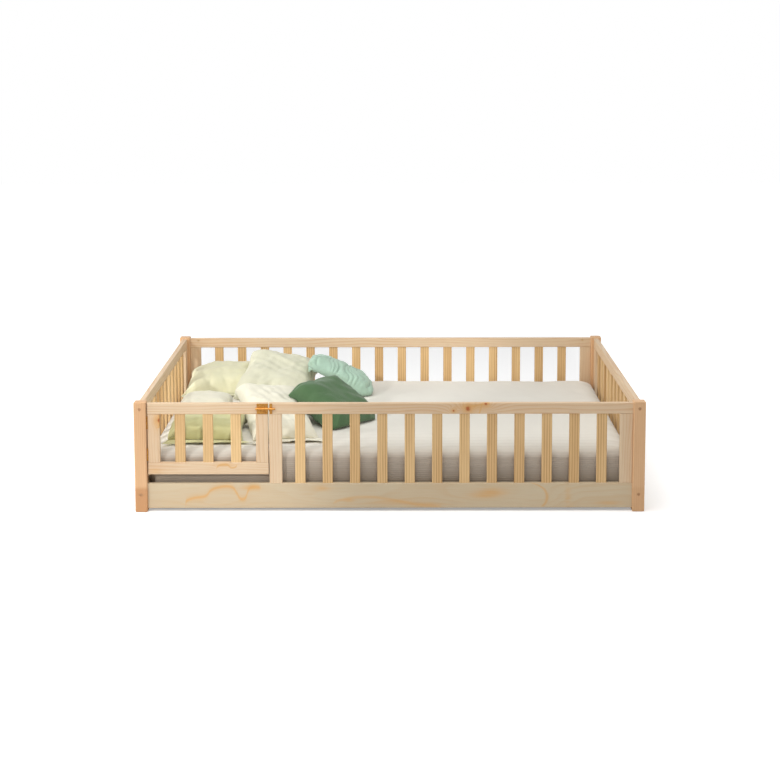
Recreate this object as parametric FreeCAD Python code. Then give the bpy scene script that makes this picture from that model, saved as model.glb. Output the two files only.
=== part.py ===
"""Toddler floor bed: four posts, slatted wooden fence, hinged gate with a surface bolt, slat base,
mattress and loose pillows.

Millimetres. +Z is up, the gate side faces -Y, and the origin is on the floor under the middle of the bed.
Every fence panel is a board, a top rail and uprights whose stub tenons sit in mortises; the panels are
bolted into the posts with barrel nuts, and short dowels locate the boards.
"""
import FreeCAD, Part
import math
import os

from FreeCAD import Placement, Rotation, Vector

# ---------------------------------------------------------------- driving dimensions: timber
BED_LENGTH = 2000.0          # over the posts, along X
BED_WIDTH = 1450.0           # over the posts, along Y
POST_HEIGHT = 440.0
POST_SIDE = 48.0
POST_ROUND = 4.5             # rounding of every post edge
PANEL_THICKNESS = 22.0       # boards, rails and stiles
PANEL_ROUND = 3.0            # rounding of the long edges of boards, rails and stiles
BOARD_LIFT = 13.0            # gap between the floor and a board
BOARD_HEIGHT = 100.0
RAIL_HEIGHT = 44.0
RAIL_DROP = 6.0              # top of the rails below the top of the posts
STILE_WIDTH = 50.0
SPINDLE_WIDTH = 40.0
SPINDLE_THICKNESS = 15.0
SPINDLE_ROUND = 2.5
FRONT_PITCH = 107.5          # spindle spacing beside the gate
SIDE_PITCH = 108.7           # spindle spacing of the back and the two ends
END_GAP = 45.0               # least gap between a stile and the first spindle

# ---------------------------------------------------------------- driving dimensions: gate
GATE_WIDTH = 473.5
GATE_CLEARANCE = 36.0        # board to gate
GATE_RAIL_HEIGHT = 48.0      # bottom rail of the gate
GATE_STILE_WIDTH = 48.5
GATE_PITCH = 109.4
LATCH_GAP = 3.5              # gate to jamb

# ---------------------------------------------------------------- driving dimensions: joinery
TENON_LENGTH = 14.0          # spindle tenon
TENON_SHOULDER = 4.0         # step from an upright's edge to its tenon
TENON_THICKNESS = 9.0
STILE_TENON_LENGTH = 12.0    # stile tenon, short enough to miss the rail bolts
JOINT_FIT = 0.15             # clearance all round a tenon or dowel
MORTISE_SPARE = 1.0          # extra depth of a mortise
BOLT_RADIUS = 3.0
BOLT_HOLE_RADIUS = 3.3
HEAD_RADIUS = 6.0
HEAD_HEIGHT = 3.5
HEAD_SINK = 1.5              # top of a bolt head below the post face
HEAD_FIT = 0.5               # clearance round a bolt head
SOCKET_RADIUS = 2.3          # corner radius of the hexagon socket
SOCKET_DEPTH = 2.5
NUT_RADIUS = 5.0
NUT_LENGTH = 16.0
NUT_INSET = 40.0             # barrel nut from the end of the board or rail
NUT_SINK = 1.0
NUT_SLOT = 1.2               # width and depth of the screwdriver slot
BOLT_SPARE = 4.0             # bolt beyond the nut
BOLT_SHIFT = 12.0            # lengthwise rail bolts over the crosswise ones
BOARD_BOLT_SHIFT = 15.5      # lengthwise board bolts under the crosswise ones
BOARD_BOLT_RISE = 7.0        # crosswise board bolt above the middle of the board
BOARD_DOWEL_SHIFT = 36.0
DOWEL_RADIUS = 4.0
DOWEL_IN_POST = 16.0
DOWEL_IN_PANEL = 24.0

# ---------------------------------------------------------------- driving dimensions: base
LEDGER_WIDTH = 20.0
LEDGER_HEIGHT = 18.0
LEDGER_INSET = 1.0           # ledger foot above the bottom of the board
SLAT_WIDTH = 70.0
SLAT_THICKNESS = 13.0
SLAT_PITCH = 138.0
SLAT_END_GAP = 6.0           # slat end to board
SLAT_ROUND = 2.0             # rounding of slats and centre beam
BEAM_WIDTH = 70.0
BEAM_HEIGHT = 20.0
BEAM_END_GAP = 3.0
FOOT_RADIUS = 20.0
FOOT_TAPER = 2.0
FOOT_PITCH = 620.0
BRACKET_THICKNESS = 2.0
BRACKET_WIDTH = 24.0
BRACKET_LEG = 32.0
BRACKET_RISE = 16.0           # bracket above the beam
BRACKET_SCREW_LENGTH = 15.0
BRACKET_SCREW_INSET = 12.8   # shelf screw from the tip of the shelf
SCREW_RADIUS = 1.9
SCREW_HEAD_RADIUS = 3.8
SCREW_HEAD_HEIGHT = 2.4
SCREW_LENGTH = 26.0
SCREW_FIT = 0.1              # clearance round a screw in its hole
SCREW_SPARE = 0.5            # hole beyond a screw's tip

# ---------------------------------------------------------------- driving dimensions: hinges and latch
LEAF_THICKNESS = 1.2
LEAF_GAP = 0.6               # between the closed leaves
LEAF_DEPTH = 19.0
HINGE_HEIGHT = 50.0
HINGE_INSET = 33.0           # hinge middle from the gate rail beside it
KNUCKLE_RADIUS = 2.5
KNUCKLE_COUNT = 5
KNUCKLE_GAP = 0.3            # between neighbouring knuckles
HINGE_CLEARANCE = 0.3        # knuckles to post and gate
HINGE_PIN_RADIUS = 1.25
RUNNING_FIT = 0.08           # radial clearance of pins and of the bolt rod
SMALL_SCREW_RADIUS = 1.2
SMALL_HEAD_RADIUS = 2.3
SMALL_SCREW_LENGTH = 12.0
PLATE_THICKNESS = 1.5
PLATE_WIDTH = 43.5
PLATE_HEIGHT = 41.0
PLATE_EDGE = 0.5             # plate from the edge of the gate
PLATE_ROUND = 2.0
PLATE_SCREW_INSET = 5.0
ROD_RADIUS = 3.5
ROD_CHAMFER = 0.8
ROD_LIFT = 0.6               # rod above the plate
STRAP_WALL = 1.5
REAR_STRAP = 4.9             # width of the strap away from the jamb
FRONT_STRAP = 10.2           # width of the strap beside the jamb
ROD_TAIL = 4.5               # rod beyond the plate
ROD_NOSE = 11.4              # rod beyond the keeper when latched
KNOB_RADIUS = 2.2
KNOB_DROP = 20.0             # knob below the rod's axis
KNOB_GAP = 0.6               # knob to the strap it stops against
KEEPER_WIDTH = 10.5
KEEPER_EDGE = 3.1            # keeper from the edge of the jamb
ROD_CLEAR = 1.1              # rod clear of the keeper when drawn

# ---------------------------------------------------------------- driving dimensions: bedding
MATTRESS_END_GAP = 12.5      # leaves 1905 mm, the length of a full mattress, between the end boards
MATTRESS_SIDE_GAP = 4.0      # leaves 1372 mm, its width
MATTRESS_THICKNESS = 200.0
MATTRESS_CORNER = 50.0
MATTRESS_CROWN = 5.0
MATTRESS_ROLL = 24.0         # rounding of the top and bottom edges
ROLL_STEPS = 4
SOFT_GAP = 0.3               # soft pieces lie this far from what carries them

# ---------------------------------------------------------------- values worked out from the above
HALF_LENGTH = BED_LENGTH / 2
HALF_WIDTH = BED_WIDTH / 2
INNER_X = HALF_LENGTH - POST_SIDE            # faces of the posts that meet the front and back panels
INNER_Y = HALF_WIDTH - POST_SIDE
PANEL_X = HALF_LENGTH - POST_SIDE / 2        # middle planes of the end panels
PANEL_Y = HALF_WIDTH - POST_SIDE / 2
BOARD_TOP = BOARD_LIFT + BOARD_HEIGHT
RAIL_TOP = POST_HEIGHT - RAIL_DROP
RAIL_FOOT = RAIL_TOP - RAIL_HEIGHT
RAIL_MIDDLE = (RAIL_TOP + RAIL_FOOT) / 2
BOARD_MIDDLE = (BOARD_LIFT + BOARD_TOP) / 2
HINGE_GAP = 2 * LEAF_THICKNESS + LEAF_GAP
GATE_LEFT = -INNER_X + HINGE_GAP
GATE_RIGHT = GATE_LEFT + GATE_WIDTH
GATE_FOOT = BOARD_TOP + GATE_CLEARANCE
GATE_SHOULDER = GATE_FOOT + GATE_RAIL_HEIGHT
JAMB_LEFT = GATE_RIGHT + LATCH_GAP
JAMB_RIGHT = JAMB_LEFT + STILE_WIDTH
GATE_FACE = -PANEL_Y - PANEL_THICKNESS / 2   # front face of the gate
LEDGER_TOP = BOARD_LIFT + LEDGER_INSET + LEDGER_HEIGHT
SLAT_TOP = LEDGER_TOP + SLAT_THICKNESS
BOARD_INSIDE_X = PANEL_X - PANEL_THICKNESS / 2
BOARD_INSIDE_Y = PANEL_Y - PANEL_THICKNESS / 2
MATTRESS_LENGTH = 2 * (BOARD_INSIDE_X - MATTRESS_END_GAP)
MATTRESS_WIDTH = 2 * (BOARD_INSIDE_Y - MATTRESS_SIDE_GAP)
MATTRESS_FOOT = SLAT_TOP + SOFT_GAP
MATTRESS_TOP = MATTRESS_FOOT + MATTRESS_THICKNESS

X_AXIS = Vector(1, 0, 0)
Y_AXIS = Vector(0, 1, 0)
Z_AXIS = Vector(0, 0, 1)


# ---------------------------------------------------------------- basic solids
def block(x0, x1, y0, y1, z0, z1):
    """A box between two corners."""
    return Part.makeBox(x1 - x0, y1 - y0, z1 - z0, Vector(x0, y0, z0))


def rounded(solid, direction, radius):
    """The solid with its edges along one direction rounded."""
    edges = [e for e in solid.Edges if abs(e.tangentAt(e.FirstParameter).dot(direction)) > 0.999]
    return solid.makeFillet(radius, edges)


def rod(radius, start, direction, length):
    """A round bar from a point along a direction."""
    return Part.makeCylinder(radius, length, start, direction)


def joined(solids):
    """One clean solid from pieces that overlap."""
    first = solids[0]
    return first.fuse(solids[1:]).removeSplitter()


def save(name, solids):
    """Write one node: a single solid, or a group of separate ones."""
    shape = solids[0] if len(solids) == 1 else Part.makeCompound(solids)
    shape.exportStep("parts/%s.step" % name)
    return shape


def front_place():
    """The front panel's own frame (x along the panel, y through it) set in the bed."""
    return Placement(Vector(0, -PANEL_Y, 0), Rotation())


def back_place():
    """The back panel is the front one turned half a turn."""
    return Placement(Vector(0, PANEL_Y, 0), Rotation(Z_AXIS, 180))


def left_place():
    """The left panel faces -X."""
    return Placement(Vector(-PANEL_X, 0, 0), Rotation(Z_AXIS, -90))


def right_place():
    """The right panel faces +X."""
    return Placement(Vector(PANEL_X, 0, 0), Rotation(Z_AXIS, 90))


def placed(solids, place):
    """Copies of solids moved from a panel's own frame into the bed."""
    return [s.transformed(place.toMatrix()) for s in solids]


# ---------------------------------------------------------------- fence pieces, in a panel's own frame
def upright(middle, width, thickness, rounding, foot, top, tenon):
    """A spindle or stile with a stub tenon at each end."""
    half = width / 2
    body = block(middle - half, middle + half, -thickness / 2, thickness / 2, foot, top)
    body = rounded(body, Z_AXIS, rounding)
    half_tenon = half - TENON_SHOULDER
    core = block(middle - half_tenon, middle + half_tenon, -TENON_THICKNESS / 2, TENON_THICKNESS / 2,
                 foot - tenon, top + tenon)
    return joined([body, core])


def mortise(middle, width, tenon, face, way):
    """The hole for a tenon, cut from a face upwards (way 1) or downwards (way -1)."""
    half = width / 2 - TENON_SHOULDER + JOINT_FIT
    half_thickness = TENON_THICKNESS / 2 + JOINT_FIT
    depth = tenon + MORTISE_SPARE
    low, high = sorted((face, face + way * depth))
    return block(middle - half, middle + half, -half_thickness, half_thickness, low, high)


def spindle(middle, foot=BOARD_TOP, top=RAIL_FOOT):
    """One fence spindle."""
    return upright(middle, SPINDLE_WIDTH, SPINDLE_THICKNESS, SPINDLE_ROUND, foot, top, TENON_LENGTH)


def stile(middle, width=STILE_WIDTH, foot=BOARD_TOP, top=RAIL_FOOT):
    """One stile, as thick as the rails."""
    return upright(middle, width, PANEL_THICKNESS, PANEL_ROUND, foot, top, STILE_TENON_LENGTH)


def spindle_places(left, right, pitch):
    """Middles of as many spindles as fit between two stiles, centred."""
    count = 1 + int((right - left - SPINDLE_WIDTH - 2 * END_GAP) / pitch)
    middle = (left + right) / 2
    return [middle + pitch * (i - (count - 1) / 2) for i in range(count)]


def bar(left, right, foot, top):
    """A board or rail with rounded long edges."""
    half = PANEL_THICKNESS / 2
    return rounded(block(left, right, -half, half, foot, top), X_AXIS, PANEL_ROUND)


def mortised(piece, spindles, stiles, face, way, stile_width=STILE_WIDTH):
    """A board or rail with the mortises of its uprights."""
    holes = [mortise(x, SPINDLE_WIDTH, TENON_LENGTH, face, way) for x in spindles]
    holes += [mortise(x, stile_width, STILE_TENON_LENGTH, face, way) for x in stiles]
    return piece.cut(holes)


# ---------------------------------------------------------------- post joints, in a panel's own frame
class Joint:
    """One bolt, its barrel nut and any dowels at the end of a board or rail.

    side is -1 at the panel's left end and 1 at its right end; inner_way is the side of the panel that
    faces the mattress, from which the barrel nut goes in.
    """

    def __init__(self, end, side, bolt_z, dowel_heights):
        self.end = end
        self.side = side
        self.bolt_z = bolt_z
        self.dowel_heights = dowel_heights
        self.outside = end + side * POST_SIDE

    def inward(self):
        """Direction from the post into the panel."""
        return Vector(-self.side, 0, 0)

    def head_floor(self):
        """Floor of the counterbore."""
        return self.outside - self.side * (HEAD_SINK + HEAD_HEIGHT)

    def bolt(self):
        """Flat-head furniture bolt with a hexagon socket."""
        floor = Vector(self.head_floor(), 0, self.bolt_z)
        grip = POST_SIDE - HEAD_SINK - HEAD_HEIGHT
        shank = rod(BOLT_RADIUS, floor, self.inward(), grip + NUT_INSET + NUT_RADIUS + BOLT_SPARE)
        head = rod(HEAD_RADIUS, floor, -self.inward(), HEAD_HEIGHT)
        corners = [Vector(self.outside - self.side * HEAD_SINK,
                          SOCKET_RADIUS * math.cos(math.radians(60 * k)),
                          self.bolt_z + SOCKET_RADIUS * math.sin(math.radians(60 * k))) for k in range(7)]
        socket = Part.Face(Part.makePolygon(corners)).extrude(self.inward() * SOCKET_DEPTH)
        return joined([shank, head]).cut(socket)

    def nut_middle(self):
        return self.end - self.side * NUT_INSET

    def nut(self):
        """Barrel nut with its cross hole and a screwdriver slot in the end that shows."""
        face = PANEL_THICKNESS / 2 - NUT_SINK
        start = Vector(self.nut_middle(), face, self.bolt_z)
        barrel = rod(NUT_RADIUS, start, -Y_AXIS, NUT_LENGTH)
        left = self.nut_middle() - 2 * NUT_RADIUS
        right = self.nut_middle() + 2 * NUT_RADIUS
        cross = rod(BOLT_RADIUS + RUNNING_FIT, Vector(left, 0, self.bolt_z), X_AXIS, right - left)
        slot = block(left, right, face - NUT_SLOT, face,
                     self.bolt_z - NUT_SLOT / 2, self.bolt_z + NUT_SLOT / 2)
        return barrel.cut([cross, slot])

    def dowels(self):
        """Beech dowels, partly in the post and partly in the panel."""
        start = self.end + self.side * DOWEL_IN_POST
        return [rod(DOWEL_RADIUS, Vector(start, 0, z), self.inward(), DOWEL_IN_POST + DOWEL_IN_PANEL)
                for z in self.dowel_heights]

    def panel_holes(self):
        """Holes in the board or rail."""
        end = Vector(self.end, 0, self.bolt_z)
        reach = NUT_INSET + NUT_RADIUS + BOLT_SPARE + MORTISE_SPARE
        bolt = rod(BOLT_HOLE_RADIUS, end, self.inward(), reach)
        start = Vector(self.nut_middle(), PANEL_THICKNESS / 2, self.bolt_z)
        nut = rod(NUT_RADIUS + JOINT_FIT, start, -Y_AXIS, NUT_SINK + NUT_LENGTH + JOINT_FIT)
        dowels = [rod(DOWEL_RADIUS + JOINT_FIT, Vector(self.end, 0, z), self.inward(),
                      DOWEL_IN_PANEL + MORTISE_SPARE) for z in self.dowel_heights]
        return [bolt, nut] + dowels

    def post_holes(self):
        """Holes in the post."""
        outside = Vector(self.outside, 0, self.bolt_z)
        through = rod(BOLT_HOLE_RADIUS, outside, self.inward(), POST_SIDE)
        sink = rod(HEAD_RADIUS + HEAD_FIT, outside, self.inward(), HEAD_SINK + HEAD_HEIGHT)
        dowels = [rod(DOWEL_RADIUS + JOINT_FIT, Vector(self.end, 0, z), -self.inward(),
                      DOWEL_IN_POST + MORTISE_SPARE) for z in self.dowel_heights]
        return [through, sink] + dowels


def crosswise_rail_joint(end, side):
    """Joint of a rail that runs along Y."""
    return Joint(end, side, RAIL_MIDDLE, [])


def lengthwise_rail_joint(end, side):
    """Joint of a rail that runs along X; its bolt passes over the crosswise one."""
    return Joint(end, side, RAIL_MIDDLE + BOLT_SHIFT, [])


def crosswise_board_joint(end, side):
    """Joint of a board that runs along Y, with its dowel below the bolt."""
    bolt_z = BOARD_MIDDLE + BOARD_BOLT_RISE
    return Joint(end, side, bolt_z, [bolt_z - BOARD_DOWEL_SHIFT])


def lengthwise_board_joint(end, side):
    """Joint of a board that runs along X; its bolt passes under the crosswise one, its dowel over it."""
    bolt_z = BOARD_MIDDLE + BOARD_BOLT_RISE - BOARD_BOLT_SHIFT
    return Joint(end, side, bolt_z, [bolt_z + BOARD_DOWEL_SHIFT])


class Panel:
    """A fence panel: where it stands, its joints and its cut timber."""

    def __init__(self, place, half, board_joint, rail_joint):
        self.place = place
        self.half = half
        self.board_joints = [board_joint(-half, -1), board_joint(half, 1)]
        self.rail_joints = [rail_joint(-half, -1), rail_joint(half, 1)]
        self.stiles = [-half + STILE_WIDTH / 2, half - STILE_WIDTH / 2]
        self.spindles = []
        self.rail_left = -half

    def joints(self):
        return self.board_joints + self.rail_joints

    def board(self):
        piece = bar(-self.half, self.half, BOARD_LIFT, BOARD_TOP)
        piece = mortised(piece, self.spindles, self.stiles, BOARD_TOP, -1)
        return piece.cut([hole for joint in self.board_joints for hole in joint.panel_holes()])

    def rail(self):
        piece = bar(self.rail_left, self.half, RAIL_FOOT, RAIL_TOP)
        piece = mortised(piece, self.spindles, self.stiles, RAIL_FOOT, 1)
        return piece.cut([hole for joint in self.rail_joints for hole in joint.panel_holes()])

    def spindle_solids(self):
        return placed([spindle(x) for x in self.spindles], self.place)

    def stile_solids(self):
        return placed([stile(x) for x in self.stiles], self.place)

    def post_holes(self):
        return placed([hole for joint in self.joints() for hole in joint.post_holes()], self.place)

    def bolts(self):
        return placed([joint.bolt() for joint in self.joints()], self.place)

    def nuts(self):
        return placed([joint.nut() for joint in self.joints()], self.place)

    def dowels(self):
        return placed([dowel for joint in self.joints() for dowel in joint.dowels()], self.place)


def full_panel(place, half, board_joint, rail_joint):
    """A panel fenced from end to end."""
    panel = Panel(place, half, board_joint, rail_joint)
    panel.spindles = spindle_places(-half + STILE_WIDTH, half - STILE_WIDTH, SIDE_PITCH)
    return panel


def gate_side_panel():
    """The front panel: its rail starts at the gate's jamb, so it has no rail joint at the left post."""
    panel = Panel(front_place(), INNER_X, lengthwise_board_joint, lengthwise_rail_joint)
    panel.stiles = [(JAMB_LEFT + JAMB_RIGHT) / 2, INNER_X - STILE_WIDTH / 2]
    panel.spindles = spindle_places(JAMB_RIGHT, INNER_X - STILE_WIDTH, FRONT_PITCH)
    panel.rail_left = JAMB_LEFT
    panel.rail_joints = [lengthwise_rail_joint(INNER_X, 1)]
    return panel


# ---------------------------------------------------------------- posts
def post(x_side, y_side, cuts):
    """A corner post with all its edges rounded, drilled for the panels that meet it."""
    x0, x1 = sorted((x_side * HALF_LENGTH, x_side * INNER_X))
    y0, y1 = sorted((y_side * HALF_WIDTH, y_side * INNER_Y))
    body = block(x0, x1, y0, y1, 0, POST_HEIGHT)
    body = body.makeFillet(POST_ROUND, body.Edges)
    return drilled(body, cuts)


# ---------------------------------------------------------------- gate
def gate_spindle_places():
    return spindle_places(GATE_LEFT + GATE_STILE_WIDTH, GATE_RIGHT - GATE_STILE_WIDTH, GATE_PITCH)


def gate_stile_places():
    return [GATE_LEFT + GATE_STILE_WIDTH / 2, GATE_RIGHT - GATE_STILE_WIDTH / 2]


def gate_rail(foot, top, face, way):
    """Top or bottom rail of the gate, over the full width of the gate."""
    piece = bar(GATE_LEFT, GATE_RIGHT, foot, top)
    return mortised(piece, gate_spindle_places(), gate_stile_places(), face, way, GATE_STILE_WIDTH)


def build_gate(screws):
    """The gate's timber, with pilot holes for the screws of its hinges and latch."""
    place = front_place()
    hinge_x, latch_x = gate_stile_places()
    pieces = {
        "gate_top_rail": gate_rail(RAIL_FOOT, RAIL_TOP, RAIL_FOOT, 1),
        "gate_bottom_rail": gate_rail(GATE_FOOT, GATE_SHOULDER, GATE_SHOULDER, -1),
        "gate_hinge_stile": stile(hinge_x, GATE_STILE_WIDTH, GATE_SHOULDER, RAIL_FOOT),
        "gate_latch_stile": stile(latch_x, GATE_STILE_WIDTH, GATE_SHOULDER, RAIL_FOOT),
    }
    for name, piece in pieces.items():
        save(name, [drilled(placed([piece], place)[0], screws)])
    uprights = [spindle(x, GATE_SHOULDER, RAIL_FOOT) for x in gate_spindle_places()]
    save("gate_spindles", placed(uprights, place))


# ---------------------------------------------------------------- screws
def countersunk(point, direction, radius, head_radius, head_height, length):
    """A countersunk screw; the point is the middle of its flush head, the direction its way in."""
    head = Part.makeCone(head_radius, radius, head_height, point, direction)
    shank = rod(radius, point, direction, length)
    return joined([head, shank])


def countersink(point, direction, radius, head_radius, head_height, length):
    """The hole that fits such a screw."""
    return countersunk(point, direction, radius + SCREW_FIT, head_radius + SCREW_FIT, head_height,
                       length + SCREW_SPARE)


def drilled(piece, screws):
    """The piece with pilot holes for those screws that enter it."""
    near = [s for s in screws if s.BoundBox.intersect(piece.BoundBox)]
    return piece.cut(near) if near else piece


# ---------------------------------------------------------------- hinges
# The pin stands just in front of the gate's face, beside the post, so the gate swings outwards.
PIN_X = -INNER_X + KNUCKLE_RADIUS + HINGE_CLEARANCE
PIN_Y = GATE_FACE - KNUCKLE_RADIUS - 2 * HINGE_CLEARANCE
KNUCKLE_PITCH = HINGE_HEIGHT / KNUCKLE_COUNT
HINGE_MIDDLES = (GATE_SHOULDER + HINGE_INSET, RAIL_FOOT - HINGE_INSET)
LEAF_FRONT = PIN_Y + KNUCKLE_RADIUS + HINGE_CLEARANCE
LEAF_BACK = LEAF_FRONT + LEAF_DEPTH
LEAF_SCREW_SPREAD = 0.35 * HINGE_HEIGHT


def hinge_leaf(middle, inner, outer, neck_front, own):
    """One leaf between two X planes with its knuckles; own is the remainder of its knuckles' indices."""
    foot = middle - HINGE_HEIGHT / 2
    pieces = [block(inner, outer, LEAF_FRONT, LEAF_BACK, foot, foot + HINGE_HEIGHT)]
    bore = rod(HINGE_PIN_RADIUS + RUNNING_FIT, Vector(PIN_X, PIN_Y, foot - 1), Z_AXIS, HINGE_HEIGHT + 2)
    for index in range(KNUCKLE_COUNT):
        if index % 2 != own:
            continue
        low = foot + index * KNUCKLE_PITCH + KNUCKLE_GAP / 2
        high = foot + (index + 1) * KNUCKLE_PITCH - KNUCKLE_GAP / 2
        pieces.append(rod(KNUCKLE_RADIUS, Vector(PIN_X, PIN_Y, low), Z_AXIS, high - low))
        pieces.append(block(inner, outer, neck_front, LEAF_FRONT + 1, low, high))
    return joined(pieces).cut(bore)


def leaf_screw_points(middle):
    """Heights and depths of the screws of one leaf."""
    depth = (LEAF_FRONT + LEAF_BACK) / 2 + 1
    return [(depth, middle + side * LEAF_SCREW_SPREAD) for side in (-1, 1)]


def build_hinges():
    post_face = -INNER_X
    gate_edge = GATE_LEFT
    post_leaves = []
    gate_leaves = []
    pins = []
    post_screws = []
    gate_screws = []
    size = (SMALL_SCREW_RADIUS, SMALL_HEAD_RADIUS, LEAF_THICKNESS, SMALL_SCREW_LENGTH)
    for middle in HINGE_MIDDLES:
        leaf = hinge_leaf(middle, post_face, post_face + LEAF_THICKNESS, PIN_Y, 0)
        for y, z in leaf_screw_points(middle):
            point = Vector(post_face + LEAF_THICKNESS, y, z)
            leaf = leaf.cut(countersink(point, -X_AXIS, *size))
            post_screws.append(countersunk(point, -X_AXIS, *size))
        post_leaves.append(leaf)
        leaf = hinge_leaf(middle, gate_edge - LEAF_THICKNESS, gate_edge, PIN_Y + KNUCKLE_RADIUS - 1, 1)
        for y, z in leaf_screw_points(middle):
            point = Vector(gate_edge - LEAF_THICKNESS, y, z)
            leaf = leaf.cut(countersink(point, X_AXIS, *size))
            gate_screws.append(countersunk(point, X_AXIS, *size))
        gate_leaves.append(leaf)
        foot = middle - HINGE_HEIGHT / 2
        pins.append(rod(HINGE_PIN_RADIUS, Vector(PIN_X, PIN_Y, foot), Z_AXIS, HINGE_HEIGHT))
    save("hinge_post_leaves", post_leaves)
    save("hinge_gate_leaves", gate_leaves)
    save("hinge_pins", pins)
    save("hinge_post_screws", post_screws)
    save("hinge_gate_screws", gate_screws)
    return post_screws, gate_screws


# ---------------------------------------------------------------- surface bolt
PLATE_RIGHT = GATE_RIGHT - PLATE_EDGE
PLATE_LEFT = PLATE_RIGHT - PLATE_WIDTH
PLATE_FACE = GATE_FACE - PLATE_THICKNESS
ROD_Y = PLATE_FACE - ROD_LIFT - ROD_RADIUS
ROD_Z = RAIL_MIDDLE
KEEPER_LEFT = JAMB_LEFT + KEEPER_EDGE
KEEPER_RIGHT = KEEPER_LEFT + KEEPER_WIDTH
ROD_START = PLATE_LEFT - ROD_TAIL
ROD_TIP = KEEPER_RIGHT + ROD_NOSE
KNOB_X = PLATE_RIGHT - FRONT_STRAP - KNOB_GAP - KNOB_RADIUS
ROD_TRAVEL = ROD_TIP - KEEPER_LEFT + ROD_CLEAR


def strap(left, right):
    """A closed loop over the rod, standing on the plate."""
    outer = ROD_RADIUS + RUNNING_FIT + STRAP_WALL
    arch = rod(outer, Vector(left, ROD_Y, ROD_Z), X_AXIS, right - left)
    cheeks = block(left, right, ROD_Y, PLATE_FACE + PLATE_THICKNESS / 2, ROD_Z - outer, ROD_Z + outer)
    return [arch, cheeks]


def strapped_plate(left, right, straps, screw_places):
    """A thin screwed-down plate with its straps bored for the rod."""
    low = ROD_Z - PLATE_HEIGHT / 2
    high = ROD_Z + PLATE_HEIGHT / 2
    plate = block(left, right, PLATE_FACE, GATE_FACE, low, high)
    plate = rounded(plate, Y_AXIS, PLATE_ROUND)
    solid = joined([plate] + [piece for pair in straps for piece in strap(*pair)])
    bore = rod(ROD_RADIUS + RUNNING_FIT, Vector(left - 1, ROD_Y, ROD_Z), X_AXIS, right - left + 2)
    size = (SMALL_SCREW_RADIUS, SMALL_HEAD_RADIUS, PLATE_THICKNESS, SMALL_SCREW_LENGTH)
    solid = solid.cut([bore] + [countersink(p, Y_AXIS, *size) for p in screw_places])
    return solid, [countersunk(p, Y_AXIS, *size) for p in screw_places]


def latch_rod():
    """Sliding rod with a bevelled tip and a stem knob that hangs between the straps."""
    shank = rod(ROD_RADIUS, Vector(ROD_START, ROD_Y, ROD_Z), X_AXIS, ROD_TIP - ROD_START)
    tips = [e for e in shank.Edges if e.BoundBox.XLength < 0.01]
    shank = shank.makeChamfer(ROD_CHAMFER, tips)
    stem = rod(KNOB_RADIUS, Vector(KNOB_X, ROD_Y, ROD_Z), -Z_AXIS, KNOB_DROP - KNOB_RADIUS)
    ball = Part.makeSphere(KNOB_RADIUS, Vector(KNOB_X, ROD_Y, ROD_Z - KNOB_DROP + KNOB_RADIUS))
    return joined([shank, stem, ball])


def build_latch():
    rise = PLATE_HEIGHT / 2 - PLATE_SCREW_INSET
    corners = [Vector(x, PLATE_FACE, ROD_Z + side * rise)
               for x in (PLATE_LEFT + PLATE_SCREW_INSET, PLATE_RIGHT - PLATE_SCREW_INSET) for side in (-1, 1)]
    straps = [(PLATE_LEFT, PLATE_LEFT + REAR_STRAP), (PLATE_RIGHT - FRONT_STRAP, PLATE_RIGHT)]
    plate, plate_screws = strapped_plate(PLATE_LEFT, PLATE_RIGHT, straps, corners)
    keeper_x = (KEEPER_LEFT + KEEPER_RIGHT) / 2
    ends = [Vector(keeper_x, PLATE_FACE, ROD_Z + side * rise) for side in (-1, 1)]
    keeper, keeper_screws = strapped_plate(KEEPER_LEFT, KEEPER_RIGHT, [(KEEPER_LEFT, KEEPER_RIGHT)], ends)
    save("latch_plate", [plate])
    save("latch_rod", [latch_rod()])
    save("latch_keeper", [keeper])
    save("latch_plate_screws", plate_screws)
    save("latch_keeper_screws", keeper_screws)
    return plate_screws, keeper_screws


# ---------------------------------------------------------------- slat base
def slat_places():
    """Middles of the slats, as many as fit between the posts."""
    room = 2 * INNER_X - SLAT_WIDTH
    count = 1 + int(room / SLAT_PITCH)
    return [SLAT_PITCH * (i - (count - 1) / 2) for i in range(count)]


def ledger(side):
    """Strip screwed to the inside of the front or back board; side is -1 or 1."""
    y0, y1 = sorted((side * BOARD_INSIDE_Y, side * (BOARD_INSIDE_Y - LEDGER_WIDTH)))
    end = INNER_X - BEAM_END_GAP
    return block(-end, end, y0, y1, LEDGER_TOP - LEDGER_HEIGHT, LEDGER_TOP)


def ledger_screw_points(side):
    """Screws through a ledger into its board, one between every other pair of slats."""
    places = slat_places()
    middles = [(a + b) / 2 for a, b in zip(places, places[1:])]
    y = side * (BOARD_INSIDE_Y - LEDGER_WIDTH)
    return [Vector(x, y, LEDGER_TOP - LEDGER_HEIGHT / 2) for x in middles[::3]]


def wood_screw(point, direction, length=SCREW_LENGTH):
    return countersunk(point, direction, SCREW_RADIUS, SCREW_HEAD_RADIUS, SCREW_HEAD_HEIGHT, length)


def wood_screw_hole(point, direction, length=SCREW_LENGTH):
    return countersink(point, direction, SCREW_RADIUS, SCREW_HEAD_RADIUS, SCREW_HEAD_HEIGHT, length)


def slat(x):
    """One slat across the bed, with eased long edges."""
    half = SLAT_WIDTH / 2
    reach = BOARD_INSIDE_Y - SLAT_END_GAP
    return rounded(block(x - half, x + half, -reach, reach, LEDGER_TOP, SLAT_TOP), Y_AXIS,
                   SLAT_ROUND)


def slat_screw_points(x):
    """A screw over each ledger."""
    y = BOARD_INSIDE_Y - LEDGER_WIDTH / 2
    return [Vector(x, side * y, SLAT_TOP) for side in (-1, 1)]


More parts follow.
